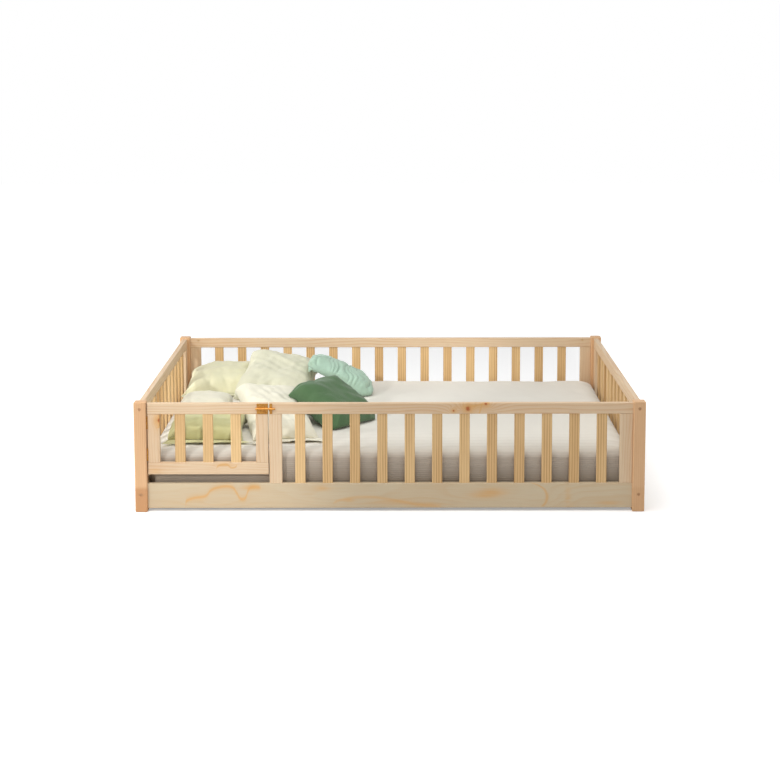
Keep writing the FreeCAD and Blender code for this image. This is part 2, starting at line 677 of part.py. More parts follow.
def bracket(side):
    """Angle bracket that carries one end of the centre beam, and its two screws."""
    board = side * BOARD_INSIDE_X
    half = BRACKET_WIDTH / 2
    beam_foot = LEDGER_TOP - BEAM_HEIGHT
    x0, x1 = sorted((board, board - side * BRACKET_LEG))
    shelf = block(x0, x1, -half, half, beam_foot - BRACKET_THICKNESS, beam_foot)
    x0, x1 = sorted((board, board - side * BRACKET_THICKNESS))
    wall_top = LEDGER_TOP + BRACKET_RISE
    wall = block(x0, x1, -half, half, beam_foot - BRACKET_THICKNESS, wall_top)
    size = (SCREW_RADIUS, SCREW_HEAD_RADIUS, BRACKET_THICKNESS, BRACKET_SCREW_LENGTH)
    wall_point = Vector(board - side * BRACKET_THICKNESS, 0, wall_top - 1.5 * SCREW_HEAD_RADIUS)
    shelf_point = Vector(board - side * (BRACKET_LEG - BRACKET_SCREW_INSET), 0, beam_foot - BRACKET_THICKNESS)
    solid = joined([shelf, wall])
    solid = solid.cut([countersink(wall_point, X_AXIS * side, *size), countersink(shelf_point, Z_AXIS, *size)])
    return solid, countersunk(wall_point, X_AXIS * side, *size), countersunk(shelf_point, Z_AXIS, *size)


def build_base():
    ledgers = []
    ledger_screws = []
    for side in (-1, 1):
        points = ledger_screw_points(side)
        way = Y_AXIS * side
        ledgers.append(ledger(side).cut([wood_screw_hole(p, way) for p in points]))
        ledger_screws += [wood_screw(p, way) for p in points]
    slats = []
    slat_screws = []
    slat_screw_length = SLAT_THICKNESS + LEDGER_HEIGHT - 2 * SCREW_HEAD_HEIGHT
    for x in slat_places():
        points = slat_screw_points(x)
        holes = [wood_screw_hole(p, -Z_AXIS, slat_screw_length) for p in points]
        slats.append(slat(x).cut(holes))
        ledgers = [piece.cut(holes) for piece in ledgers]
        slat_screws += [wood_screw(p, -Z_AXIS, slat_screw_length) for p in points]
    save("ledger_front", ledgers[:1])
    save("ledger_back", ledgers[1:])
    save("ledger_screws", ledger_screws)
    save("bed_slats", slats)
    save("slat_screws", slat_screws)

    beam_foot = LEDGER_TOP - BEAM_HEIGHT
    beam_end = BOARD_INSIDE_X - BEAM_END_GAP
    beam = block(-beam_end, beam_end, -BEAM_WIDTH / 2, BEAM_WIDTH / 2, beam_foot, LEDGER_TOP)
    brackets = []
    into_board = []
    into_beam = []
    for side in (-1, 1):
        solid, wall_screw, shelf_screw = bracket(side)
        brackets.append(solid)
        into_board.append(wall_screw)
        into_beam.append(shelf_screw)
    save("centre_beam", [rounded(beam, X_AXIS, SLAT_ROUND).cut(into_beam)])
    save("bracket_screws", into_board + into_beam)
    feet = [Part.makeCone(FOOT_RADIUS, FOOT_RADIUS - FOOT_TAPER, beam_foot, Vector(i * FOOT_PITCH, 0, 0), Z_AXIS)
            for i in (-1, 0, 1)]
    save("beam_feet", feet)
    save("beam_brackets", brackets)
    return ledger_screws + into_board


# ---------------------------------------------------------------- mattress
def rounded_rectangle(half_x, half_y, corner, z):
    """A closed outline of four lines and four quarter arcs."""
    edges = []
    centres = [(half_x - corner, half_y - corner), (corner - half_x, half_y - corner),
               (corner - half_x, corner - half_y), (half_x - corner, corner - half_y)]

    def on_arc(index, degrees):
        cx, cy = centres[index]
        angle = math.radians(90 * index + degrees)
        return Vector(cx + corner * math.cos(angle), cy + corner * math.sin(angle), z)

    for index in range(4):
        edges.append(Part.Arc(on_arc(index, 0), on_arc(index, 45), on_arc(index, 90)).toShape())
        edges.append(Part.LineSegment(on_arc(index, 90), on_arc((index + 1) % 4, 0)).toShape())
    return Part.Wire(edges)


def mattress():
    """Upright sides, rolled edges and a slightly crowned top, lofted through level outlines."""
    levels = []
    for step in range(ROLL_STEPS + 1):
        angle = math.radians(90.0 * step / ROLL_STEPS)
        levels.append((MATTRESS_ROLL * (1 - math.sin(angle)), MATTRESS_ROLL * (1 - math.cos(angle))))
    side_top = MATTRESS_THICKNESS - MATTRESS_CROWN
    levels += [(inset, side_top - rise) for inset, rise in reversed(levels)]
    for share in (0.3, 0.7, 1.0):
        inset = MATTRESS_ROLL + share * MATTRESS_WIDTH / 3
        levels.append((inset, side_top + MATTRESS_CROWN * (1 - (1 - share) ** 2)))
    outlines = [rounded_rectangle(MATTRESS_LENGTH / 2 - inset, MATTRESS_WIDTH / 2 - inset,
                                  MATTRESS_CORNER, MATTRESS_FOOT + rise) for inset, rise in levels]
    return Part.makeLoft(outlines, True, True)


# ---------------------------------------------------------------- pillows
# Each: length, width, thickness; its middle, as the distance from the mattress's left end and from the
# line named (in front of it when negative); turn about Z, then tilt about its own X (front edge down
# when positive) and roll about its own Y (right end down when positive), in degrees.
SIDE_EDGES = {"back": MATTRESS_WIDTH / 2, "middle": 0.0, "front": -MATTRESS_WIDTH / 2}
PILLOWS = {
    "pillow_sage": ((350, 400, 115), (182.5, "back", -234), (0, 3, -3)),
    "pillow_cream_back": ((325, 375, 122), (440.5, "back", -346), (-9, 17, 8)),
    "pillow_cream_left": ((235, 285, 98), (165.5, "middle", -92), (6, 2, 0)),
    "pillow_lime": ((310, 345, 96), (207.5, "front", 243), (2, 3, 3)),
    "pillow_cream_front": ((280, 600, 104), (480.5, "front", 386), (13, 9, 7)),
    "cushion_mint": ((325, 195, 96), (733.5, "back", -361), (-6, 7, 27)),
    "cushion_green": ((265, 285, 118), (714.5, "middle", -214), (46, 28, 2)),
}
PILLOW_DROP = 400.0          # height above the mattress from which a pillow is lowered onto its seat
PILLOW_END = 10.0            # thickness of the sewn end of a pillow
BELLY = 0.33                 # share of a pillow's thickness below its side seams
SIDE_DRAW = 0.07             # how far the middle of a pillow's sides is drawn in, as a share of its width
STATIONS = (-1.0, -0.92, -0.6, 0.0, 0.6, 0.92, 1.0)


def lens(x, half_width, thickness):
    """A section of a pillow: a high arc over a flatter one, which meet at the side seams."""
    left = Vector(x, -half_width, 0)
    right = Vector(x, half_width, 0)
    over = Part.Arc(left, Vector(x, 0, (1 - BELLY) * thickness), right).toShape()
    under = Part.Arc(right, Vector(x, 0, -BELLY * thickness), left).toShape()
    return Part.Wire([over, under])


def pillow(length, width, thickness):
    """A crowned pillow with drawn-in sides, lofted through lens sections along its length."""
    sections = []
    for share in STATIONS:
        swell = (1 - abs(share) ** 2.4) ** 0.6
        half_width = width / 2 * (1 - SIDE_DRAW * (1 - share * share))
        sections.append(lens(share * length / 2, half_width, PILLOW_END + (thickness - PILLOW_END) * swell))
    return Part.makeLoft(sections, True, False)


def lowered(solid, supports):
    """The solid moved straight down until it lies SOFT_GAP from what is under it."""
    for _ in range(40):
        room = min(solid.distToShape(other)[0] for other in supports)
        if room < SOFT_GAP + 0.05:
            break
        solid = solid.translated(Vector(0, 0, SOFT_GAP - room))
    return solid


def build_bedding():
    base = mattress()
    save("mattress", [base])
    laid = [base]
    for name, (size, spot, turns) in PILLOWS.items():
        from_end, line, from_line = spot
        x = from_end - MATTRESS_LENGTH / 2
        y = SIDE_EDGES[line] + from_line
        turn, tilt, roll = turns
        rotation = Rotation(Z_AXIS, turn).multiply(Rotation(X_AXIS, tilt)).multiply(Rotation(Y_AXIS, roll))
        place = Placement(Vector(x, y, MATTRESS_TOP + PILLOW_DROP), rotation)
        solid = lowered(pillow(*size).transformed(place.toMatrix()), laid)
        laid.append(solid)
        save(name, [solid])
        box = solid.BoundBox
        print("%-20s x %7.1f %7.1f  y %7.1f %7.1f  z %6.1f %6.1f" %
              (name, box.XMin, box.XMax, box.YMin, box.YMax, box.ZMin, box.ZMax))


# ---------------------------------------------------------------- the bed
def build_fence(screws_in_frame):
    """Posts, boards, rails, uprights and their fasteners; screws_in_frame need pilot holes."""
    front = gate_side_panel()
    back = full_panel(back_place(), INNER_X, lengthwise_board_joint, lengthwise_rail_joint)
    left = full_panel(left_place(), INNER_Y, crosswise_board_joint, crosswise_rail_joint)
    right = full_panel(right_place(), INNER_Y, crosswise_board_joint, crosswise_rail_joint)
    panels = (("front", front), ("back", back), ("left", left), ("right", right))

    post_cuts = [hole for _, panel in panels for hole in panel.post_holes()]
    for name, x_side, y_side in (("post_front_left", -1, -1), ("post_front_right", 1, -1),
                                 ("post_back_left", -1, 1), ("post_back_right", 1, 1)):
        save(name, [post(x_side, y_side, post_cuts + screws_in_frame)])

    for name, panel in panels:
        board = placed([panel.board()], panel.place)[0]
        save("board_" + name, [drilled(board, screws_in_frame)])
        rail = placed([panel.rail()], panel.place)[0]
        save("top_rail_" + name, [drilled(rail, screws_in_frame)])
        save("spindles_" + name, panel.spindle_solids())
    jamb, end_stile = front.stile_solids()
    save("gate_jamb", [drilled(jamb, screws_in_frame)])
    save("stile_front_right", [end_stile])
    for name, panel in panels[1:]:
        save("stiles_" + name, panel.stile_solids())

    save("bolts_lengthwise", front.bolts() + back.bolts())
    save("bolts_crosswise", left.bolts() + right.bolts())
    save("barrel_nuts", [nut for _, panel in panels for nut in panel.nuts()])
    save("locating_dowels", [dowel for _, panel in panels for dowel in panel.dowels()])


def main():
    os.makedirs("parts", exist_ok=True)
    post_screws, gate_screws = build_hinges()
    plate_screws, keeper_screws = build_latch()
    board_screws = build_base()
    build_gate(gate_screws + plate_screws)
    build_fence(post_screws + keeper_screws + board_screws)
    build_bedding()
    print("pin at %.2f %.2f, rod travel %.2f" % (PIN_X, PIN_Y, ROD_TRAVEL))


main()
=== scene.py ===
"""Toddler floor bed: finishes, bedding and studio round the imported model.

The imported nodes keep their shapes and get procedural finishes. The mattress and the pillows are made here
as soft pieces, in the places of their plain solids. Metres, +Z up; the gate faces -Y.
"""
import math

import bmesh
import bpy
import numpy as np
from bpy.props import FloatProperty, FloatVectorProperty, PointerProperty
from mathutils import Matrix, Vector


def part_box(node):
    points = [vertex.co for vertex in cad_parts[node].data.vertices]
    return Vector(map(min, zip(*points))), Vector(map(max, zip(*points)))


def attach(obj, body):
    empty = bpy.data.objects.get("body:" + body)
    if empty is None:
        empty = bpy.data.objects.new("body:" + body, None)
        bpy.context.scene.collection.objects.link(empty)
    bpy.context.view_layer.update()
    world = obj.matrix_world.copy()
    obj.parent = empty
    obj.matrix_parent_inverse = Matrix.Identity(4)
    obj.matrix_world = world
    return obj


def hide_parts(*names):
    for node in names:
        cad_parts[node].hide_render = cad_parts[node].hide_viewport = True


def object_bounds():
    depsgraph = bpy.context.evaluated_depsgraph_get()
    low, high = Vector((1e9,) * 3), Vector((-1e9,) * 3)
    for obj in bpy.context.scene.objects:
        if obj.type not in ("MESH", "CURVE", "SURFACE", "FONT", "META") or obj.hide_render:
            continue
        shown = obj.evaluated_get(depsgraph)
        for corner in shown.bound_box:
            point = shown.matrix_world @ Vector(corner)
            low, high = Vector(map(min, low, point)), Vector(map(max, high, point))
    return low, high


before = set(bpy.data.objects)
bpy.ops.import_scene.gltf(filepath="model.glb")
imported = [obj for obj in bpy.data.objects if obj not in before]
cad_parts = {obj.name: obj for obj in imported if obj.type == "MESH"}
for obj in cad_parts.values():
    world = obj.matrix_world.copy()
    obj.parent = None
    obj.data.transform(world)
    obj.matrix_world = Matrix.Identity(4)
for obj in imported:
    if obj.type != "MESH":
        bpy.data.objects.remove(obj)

bl_info = {
    "name": "Toddler floor bed",
    "version": (1, 0, 0),
    "blender": (4, 5, 0),
    "location": "View3D > Sidebar > Floor bed",
    "description": "Finishes the timber and metal of a toddler floor bed and makes its bedding and studio",
    "category": "Object",
}

CAD_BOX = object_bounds()


def srgb(red, green, blue):
    """A colour of 0 to 255 as the linear values that a shader takes."""
    shares = [value / 255 for value in (red, green, blue)]
    return tuple(s / 12.92 if s <= 0.04045 else ((s + 0.055) / 1.055) ** 2.4 for s in shares)


def colour(name, description, *levels):
    return FloatVectorProperty(name=name, description=description, subtype="COLOR", size=3, min=0.0, max=1.0,
                               default=srgb(*levels))


def angle(name, description, default):
    return FloatProperty(name=name, description=description, default=default, subtype="ANGLE",
                         unit="ROTATION", precision=4)


def power(name, description, default):
    return FloatProperty(name=name, description=description, default=default, unit="POWER")


def plain(name, description, default):
    return FloatProperty(name=name, description=description, default=default, precision=4)


def length(name, description, default):
    return FloatProperty(name=name, description=description, default=default, subtype="DISTANCE",
                         unit="LENGTH", precision=4)


# ---- settings
class BED_PG_timber(bpy.types.PropertyGroup):
    """Pine: colours of the sapwood, of its rings and of its knots."""
    rail: colour("Rails", "Pale wood of the rails and stiles", 221, 198, 167)
    rail_ring: colour("Rail rings", "Darker rings of the rails and stiles", 198, 150, 104)
    board: colour("Boards", "Greyer wood of the low boards", 205, 190, 162)
    board_ring: colour("Board rings", "Darker rings of the low boards", 196, 158, 112)
    spindle: colour("Spindles", "Golden wood of the spindles", 232, 198, 146)
    spindle_ring: colour("Spindle rings", "Darker rings of the spindles", 172, 126, 74)
    post: colour("Posts", "Warm wood of the posts", 221, 181, 139)
    post_ring_and_foot_shade: colour("Post rings", "Darker rings of the posts", 188, 136, 92)
    resin: colour("Resin veins", "Orange veins and blushes", 212, 162, 98)
    knot: colour("Knots", "Reddish heart of a knot", 168, 74, 36)
    rail_spacing: length("Ring spacing", "Distance between the rings of rails and boards", 0.013)
    spindle_spacing: length("Spindle ring spacing", "Distance between the rings of spindles", 0.0105)
    post_spacing: length("Post ring spacing", "Distance between the rings of posts", 0.0075)
    roughness: FloatProperty(name="Roughness", description="Roughness of the clear satin lacquer",
                             default=0.48, min=0.0, max=1.0, subtype="FACTOR")


class BED_PG_metal(bpy.types.PropertyGroup):
    """Brass of the hinges and the surface bolt, and the steel of the hidden fasteners."""
    brass: colour("Brass", "Satin brass", 204, 148, 76)
    tarnish: colour("Tarnish", "Brown tarnish in the brass", 146, 92, 44)
    bronzed: colour("Bronzed steel", "Bronzed heads of the furniture bolts", 192, 148, 108)
    zinc: colour("Zinc", "Yellow zinc on screws, brackets and nuts", 214, 186, 142)
    foot: colour("Feet", "Moulded feet under the centre beam", 96, 90, 84)


class BED_PG_bedding(bpy.types.PropertyGroup):
    """Colours of the mattress cover and of the pillow cases."""
    cover_top: colour("Cover, top", "Pale top of the mattress cover", 230, 226, 215)
    # Painted shade: the side and foot colours are the top's cloth in the shade of the fence, darker towards
    # the board.
    cover_side_shade: colour("Cover, side", "Ribbed side of the mattress cover", 190, 179, 166)
    cover_foot_shade: colour("Cover, foot", "Darker foot of the mattress cover", 152, 140, 126)
    cream: colour("Cream", "Cream cotton", 230, 226, 205)
    # Painted shade in part: a yellower cream, darker for the shade the back pillow lies in.
    ivory_in_shade: colour("Ivory", "Yellower cream cotton of the pillow at the back", 213, 211, 186)
    sage: colour("Sage", "Pale sage cotton", 222, 219, 185)
    lime: colour("Lime", "Lime cotton", 200, 197, 145)
    mint: colour("Mint", "Mint crinkled cotton", 172, 200, 180)
    green: colour("Green", "Dark green cotton", 75, 104, 69)
    rib_pitch: length("Rib pitch", "Height of one rib of the mattress side", 0.0085)
    line_pitch: length("Line pitch", "Distance between the faint lines on the front of the mattress", 0.046)
    weave_pitch: length("Weave pitch", "Distance between the threads of a pillow case", 0.0014)


class BED_PG_stage(bpy.types.PropertyGroup):
    """Camera, lamps and floor."""
    camera_place: FloatVectorProperty(name="Camera place", description="Where the camera stands",
                                      default=(0.02001, -6.99107, 1.84168), subtype="TRANSLATION",
                                      unit="LENGTH", precision=5)
    camera_turn: angle("Camera turn", "Turn of the camera about the vertical", 0.0024)
    camera_tilt: angle("Camera tilt", "Tilt of the camera, negative for downwards", -0.1273)
    camera_roll: angle("Camera roll", "Roll of the camera about its own axis", -0.0020)
    lens: plain("Lens", "Focal length in mm on a square 36 mm sensor", 75.74)
    shift_x: plain("Shift X", "Sideways lens shift", -0.0007)
    shift_y: plain("Shift Y", "Upward lens shift", -0.1800)
    key_power: power("Key lamp", "Power of the spot in front, on the left", 1110.0)
    top_power: power("Overhead lamp", "Power of the broad lamp over the front", 86.0)
    fill_power: power("Fill lamps", "Power of the low lamp on the left; the right one has about a third of it",
                      105.0)
    sky: plain("Sky", "Strength of the even light all round", 0.34)
    lift_near: plain("Floor lift near", "Light that the camera adds by the bed", 0.32)
    lift_far: plain("Floor lift far", "Light that the camera adds half a metre away", 0.75)


# ---- shader trees
class Tree:
    """The nodes of a world, or of a new material by its name. Methods add nodes and return their outputs."""

    def __init__(self, owner):
        self.owner = bpy.data.materials.new(owner) if isinstance(owner, str) else owner
        self.owner.use_nodes = True
        self.nodes = self.owner.node_tree.nodes
        self.links = self.owner.node_tree.links

    def put(self, socket, value):
        """Links a socket to another, or sets its value."""
        if isinstance(value, bpy.types.NodeSocket):
            self.links.new(value, socket)
        elif socket.type == "RGBA" and len(value) == 3:
            socket.default_value = (*value, 1.0)
        else:
            socket.default_value = value

    def node(self, kind, inputs, out=0, **settings):
        node = self.nodes.new(kind)
        for key, value in settings.items():
            setattr(node, key, value)
        for key, value in inputs.items():
            self.put(node.inputs[key], value)
        return node.outputs[out]

    def math(self, operation, a, b=0.0):
        return self.node("ShaderNodeMath", {0: a, 1: b}, operation=operation)

    def plus(self, a, b):
        return self.math("ADD", a, b)

    def minus(self, a, b):
        return self.math("SUBTRACT", a, b)

    def times(self, a, *others):
        for b in others:
            a = self.math("MULTIPLY", a, b)
        return a

    def over(self, a, b):
        return self.math("DIVIDE", a, b)

    def vector(self, operation, a, b):
        return self.node("ShaderNodeVectorMath", {0: a, 1: b}, operation=operation)

    def place(self):
        """The point in the bed's own frame."""
        return self.node("ShaderNodeTexCoord", {}, out="Object")

    def parts(self, vector):
        node = self.nodes.new("ShaderNodeSeparateXYZ")
        self.put(node.inputs[0], vector)
        return list(node.outputs)

    def joined(self, x, y, z):
        return self.node("ShaderNodeCombineXYZ", {0: x, 1: y, 2: z})

    def noise(self, vector, scale, detail, roughness, stretch=(1.0, 1.0, 1.0)):
        """Smooth noise from 0 to 1; stretch multiplies the axes before the scale."""
        moved = self.vector("MULTIPLY", vector, stretch)
        return self.node("ShaderNodeTexNoise",
                         {"Vector": moved, "Scale": scale, "Detail": detail, "Roughness": roughness})

    def between(self, value, low, high, to_low=0.0, to_high=1.0):
        """A smooth step from to_low to to_high while the value goes from low to high."""
        return self.node("ShaderNodeMapRange",
                         {"Value": value, "From Min": low, "From Max": high, "To Min": to_low,
                          "To Max": to_high}, interpolation_type="SMOOTHSTEP")

    def ramp(self, value, stops):
        """A grey ramp through (place, level) stops."""
        node = self.nodes.new("ShaderNodeValToRGB")
        self.put(node.inputs[0], value)
        elements = node.color_ramp.elements
        while len(elements) < len(stops):
            elements.new(0.5)
        for element, (position, level) in zip(elements, stops):
            element.position = position
            element.color = (level, level, level, 1.0)
        return node.outputs[0]

    def mix(self, share, a, b):
        """Colour a turned to colour b by a share of 0 to 1."""
        return self.node("ShaderNodeMix", {0: share, 6: a, 7: b}, out=2, data_type="RGBA")

    def bump(self, height, strength, distance, normal=None):
        inputs = {"Height": height, "Strength": strength, "Distance": distance}
        if normal is not None:
            inputs["Normal"] = normal
        return self.node("ShaderNodeBump", inputs)

    def finish(self, **sockets):
        """Sets the shader's sockets; a name's underscores stand for spaces."""
        for name, value in sockets.items():
            self.put(self.nodes["Principled BSDF"].inputs[name.replace("_", " ")], value)
        return self.owner


# ---- timber
FRONT = -0.712      # front face of the front panel
RING_PROFILE = [(0.0, 0.0), (0.45, 0.12), (0.78, 1.0), (0.9, 0.9), (1.0, 0.0)]      # early wood to late wood


def grain_point(tree, along, seed, pitch=0.0):
    """The point with the grain along its first axis and the widest face's other axis second.

    With a pitch, the wood is cut into cells of that width along the fence, one for each spindle, and every
    cell takes its wood from another place. Returns the point and the cell's own random number.
    """
    x, y, z = tree.parts(tree.place())
    order = {"X": (x, z, y), "Y": (y, z, x), "Z": (z, x, y), "Z side": (z, y, x)}[along]
    if not pitch:
        moved = tree.vector("ADD", tree.joined(*order), (1.7 * seed, 0.9 * seed, 1.3 * seed))
        return moved, None
    cell = tree.math("FLOOR", tree.over(order[1], pitch))
    pick = tree.nodes.new("ShaderNodeTexWhiteNoise")
    pick.noise_dimensions = "1D"
    tree.put(pick.inputs["W"], tree.plus(cell, 17.0 * seed))
    shift = tree.vector("MULTIPLY", pick.outputs["Color"], (9.0, 0.02, 0.6))
    return tree.vector("ADD", tree.joined(*order), shift), pick.outputs["Value"]


def spot(tree, centre, reach, ragged=0.0):
    """1 at a point of the bed's frame, falling to 0 as a bell over a reach along each axis.

    Ragged moves the bell's outline in and out by that distance.
    """
    place = tree.place()
    away = tree.vector("SUBTRACT", place, centre)
    if ragged:
        waves = tree.node("ShaderNodeTexNoise", {"Vector": place, "Scale": 0.45 / ragged, "Detail": 2.0},
                          out="Color")
        waves = tree.vector("SUBTRACT", waves, (0.5, 0.5, 0.5))
        away = tree.vector("ADD", away, tree.vector("MULTIPLY", waves, (4 * ragged,) * 3))
    scaled = tree.vector("DIVIDE", away, reach)
    squared = tree.node("ShaderNodeVectorMath", {0: scaled, 1: scaled}, out=1, operation="DOT_PRODUCT")
    return tree.math("EXPONENT", tree.times(squared, -1.0))


def vein(tree, path, width, upright=False):
    """A wandering line of resin on a front face, through (x, z) points: 1 on it, a bell to both sides.

    The line is a height as a function of x, or for an upright one an x as a function of height.
    """
    x, _, z = tree.parts(tree.place())
    run, rise = (z, x) if upright else (x, z)
    runs = [p[1] if upright else p[0] for p in path]
    rises = [p[0] if upright else p[1] for p in path]
    low, high = min(rises) - 1e-4, max(rises) + 1e-4
    share = tree.over(tree.minus(run, runs[0]), runs[-1] - runs[0])
    node = tree.nodes.new("ShaderNodeFloatCurve")
    tree.put(node.inputs["Value"], share)
    curve = node.mapping.curves[0]
    for r, h in zip(runs, rises):
        spot_at = ((r - runs[0]) / (runs[-1] - runs[0]), (h - low) / (high - low))
        if r in (runs[0], runs[-1]):
            curve.points[0 if r == runs[0] else -1].location = spot_at
        else:
            curve.points.new(*spot_at)
    node.mapping.update()
    line = tree.plus(tree.times(node.outputs[0], high - low), low)
    away = tree.over(tree.minus(rise, line), width)
    bell = tree.math("EXPONENT", tree.times(away, away, -1.0))
    ends = tree.times(tree.between(share, -0.02, 0.02), tree.between(share, 0.98, 1.02, 1.0, 0.0))
    return tree.times(bell, ends)


def timber(name, along, wood, ring, spacing, seed, settings, pitch=0.0, wander=1.0, lines=0.5,
           swirls=(), knots=(), blushes=(), veins=(), foot=0.0):
    """Planed and lacquered pine.

    Rings are the level lines of a field that grows across the grain and wanders slowly along it. A swirl
    adds a bell to that field, which turns the lines round it into closed figures; a knot is a small dark
    swirl, a blush is an orange stain on a front face, given by its x, z and reaches, and a vein is a line of
    resin. Foot darkens the lowest 0.1 m towards the ring colour: painted shade at the post's foot.
    """
    tree = Tree(name)
    point, own = grain_point(tree, along, seed, pitch)
    _, across, deep = tree.parts(point)
    field = tree.plus(tree.over(across, spacing), tree.over(deep, 2.2 * spacing))
    slow = tree.noise(point, 1.0, 2.0, 0.5, (1.6, 9.0, 9.0))
    field = tree.plus(field, tree.times(slow, 5.0 * wander))
    for centre, reach, rings in swirls:
        field = tree.plus(field, tree.times(spot(tree, centre, reach), rings))
    for centre, size in knots:
        field = tree.plus(field, tree.times(spot(tree, centre, (3 * size,) * 3), 3.0))
    rings = tree.ramp(tree.math("FRACT", field), RING_PROFILE)
    fade = tree.between(tree.noise(point, 1.0, 2.0, 0.5, (2.2, 14.0, 14.0)), 0.34, 0.62, 0.35, 1.0)
    tint = tree.mix(tree.times(rings, fade, lines), wood, ring)

    broad = tree.noise(point, 1.0, 2.0, 0.5, (1.1, 7.0, 7.0))
    tint = tree.mix(tree.between(broad, 0.40, 0.66, 0.0, 0.30), tint, tree.mix(0.6, wood, ring))
    fibre = tree.noise(point, 1.0, 3.0, 0.6, (9.0, 420.0, 420.0))
    tint = tree.mix(tree.between(fibre, 0.35, 0.72, 0.0, 0.2), tint, ring)
    if own is not None:
        tint = tree.mix(tree.between(own, 0.0, 1.0, 0.0, 0.22), tint, ring)
    for x, z, reach_x, reach_z, strength in blushes:
        bell = spot(tree, (x, FRONT, z), (reach_x, 0.1, reach_z))
        stain = tree.times(bell, tree.between(fibre, 0.3, 0.65, 0.7, 1.0))
        tint = tree.mix(tree.times(stain, strength), tint, settings.resin)
    for path, width, strength, upright in veins:
        tint = tree.mix(tree.times(vein(tree, path, width, upright), strength), tint, settings.resin)
    for centre, size in knots:
        halo = tree.times(spot(tree, centre, (2.4 * size, 2.4 * size, 2.2 * size), 0.4 * size), 0.75)
        tint = tree.mix(halo, tint, settings.resin)
        heart = tree.between(spot(tree, centre, (size, size, 1.1 * size), 0.25 * size), 0.15, 0.95, 0.0, 0.85)
        tint = tree.mix(heart, tint, settings.knot)
    # Painted shade: the lowest 0.1 m turns towards the post's ring colour, as shade at the foot.
    if foot:
        height = tree.parts(tree.place())[2]
        tint = tree.mix(tree.between(height, 0.088, 0.108, foot, 0.0), tint, settings.post_ring_and_foot_shade)

    grain = tree.plus(tree.times(rings, 0.5), fibre)
    rough = tree.between(fibre, 0.2, 0.8, settings.roughness - 0.05, settings.roughness + 0.09)
    return tree.finish(Base_Color=tint, Roughness=rough, Normal=tree.bump(grain, 0.22, 0.0005),
                       Specular_IOR_Level=0.25)


def wear(material, *nodes):
    """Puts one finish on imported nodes."""
    for name in nodes:
        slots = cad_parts[name].data.materials
        slots.clear()
        slots.append(material)


class BED_OT_boards(bpy.types.Operator):
    """Finish the low boards, the ledgers and the slat base."""
    bl_idname = "bed.boards"
    bl_label = "Boards and base"

    def execute(self, context):
        pine = context.scene.bed_timber
        kinds = dict(wood=pine.board, ring=pine.board_ring, settings=pine)
        long_vein = [(-0.805, 0.014), (-0.801, 0.041), (-0.774, 0.053), (-0.727, 0.061), (-0.703, 0.085),
                     (-0.676, 0.096), (-0.629, 0.100), (-0.601, 0.073), (-0.578, 0.049), (-0.558, 0.081),
                     (-0.538, 0.099), (-0.511, 0.096)]
        right_vein = [(0.600, 0.018), (0.618, 0.050), (0.612, 0.080), (0.590, 0.100), (0.560, 0.112)]
        low_vein = [(-0.22, 0.034), (-0.17, 0.050), (-0.10, 0.058), (-0.03, 0.052), (0.06, 0.036),
                    (0.13, 0.024), (0.20, 0.020)]
        wear(timber("pine board front", "X", spacing=0.03, seed=1, lines=0.22,
                    swirls=[((0.36, FRONT, 0.055), (0.16, 0.2, 0.05), 3.0),
                            ((0.59, FRONT, 0.05), (0.1, 0.2, 0.07), 2.5),
                            ((-0.18, FRONT, 0.05), (0.2, 0.2, 0.045), 2.2),
                            ((-0.66, FRONT, 0.03), (0.14, 0.2, 0.05), 2.4)],
                    veins=[(long_vein, 0.0055, 0.7, False), (long_vein, 0.016, 0.3, False),
                           (right_vein, 0.006, 0.6, True), (low_vein, 0.006, 0.4, False)],
                    blushes=[(-0.545, 0.096, 0.035, 0.01, 0.75), (0.40, 0.075, 0.055, 0.018, 0.75),
                             (0.36, 0.062, 0.05, 0.012, 0.5), (-0.265, 0.092, 0.03, 0.010, 0.6),
                             (-0.16, 0.044, 0.022, 0.008, 0.5), (0.02, 0.036, 0.09, 0.010, 0.45),
                             (0.14, 0.026, 0.07, 0.008, 0.4), (0.70, 0.06, 0.012, 0.04, 0.35),
                             (0.86, 0.032, 0.05, 0.008, 0.5)],
                    **kinds), "board_front")
        wear(timber("pine board back", "X", spacing=0.03, seed=2, lines=0.22, **kinds), "board_back")
        wear(timber("pine board ends", "Y", spacing=0.03, seed=3, lines=0.22, **kinds),
             "board_left", "board_right")
        wear(timber("pine base lengthwise", "X", spacing=0.012, seed=4, **kinds),
             "ledger_front", "ledger_back", "centre_beam")
        wear(timber("pine slats", "Y", spacing=0.012, seed=5, **kinds), "bed_slats")
        wear(timber("turned dowels", "X", spacing=0.004, seed=6, **kinds), "locating_dowels")
        return {"FINISHED"}


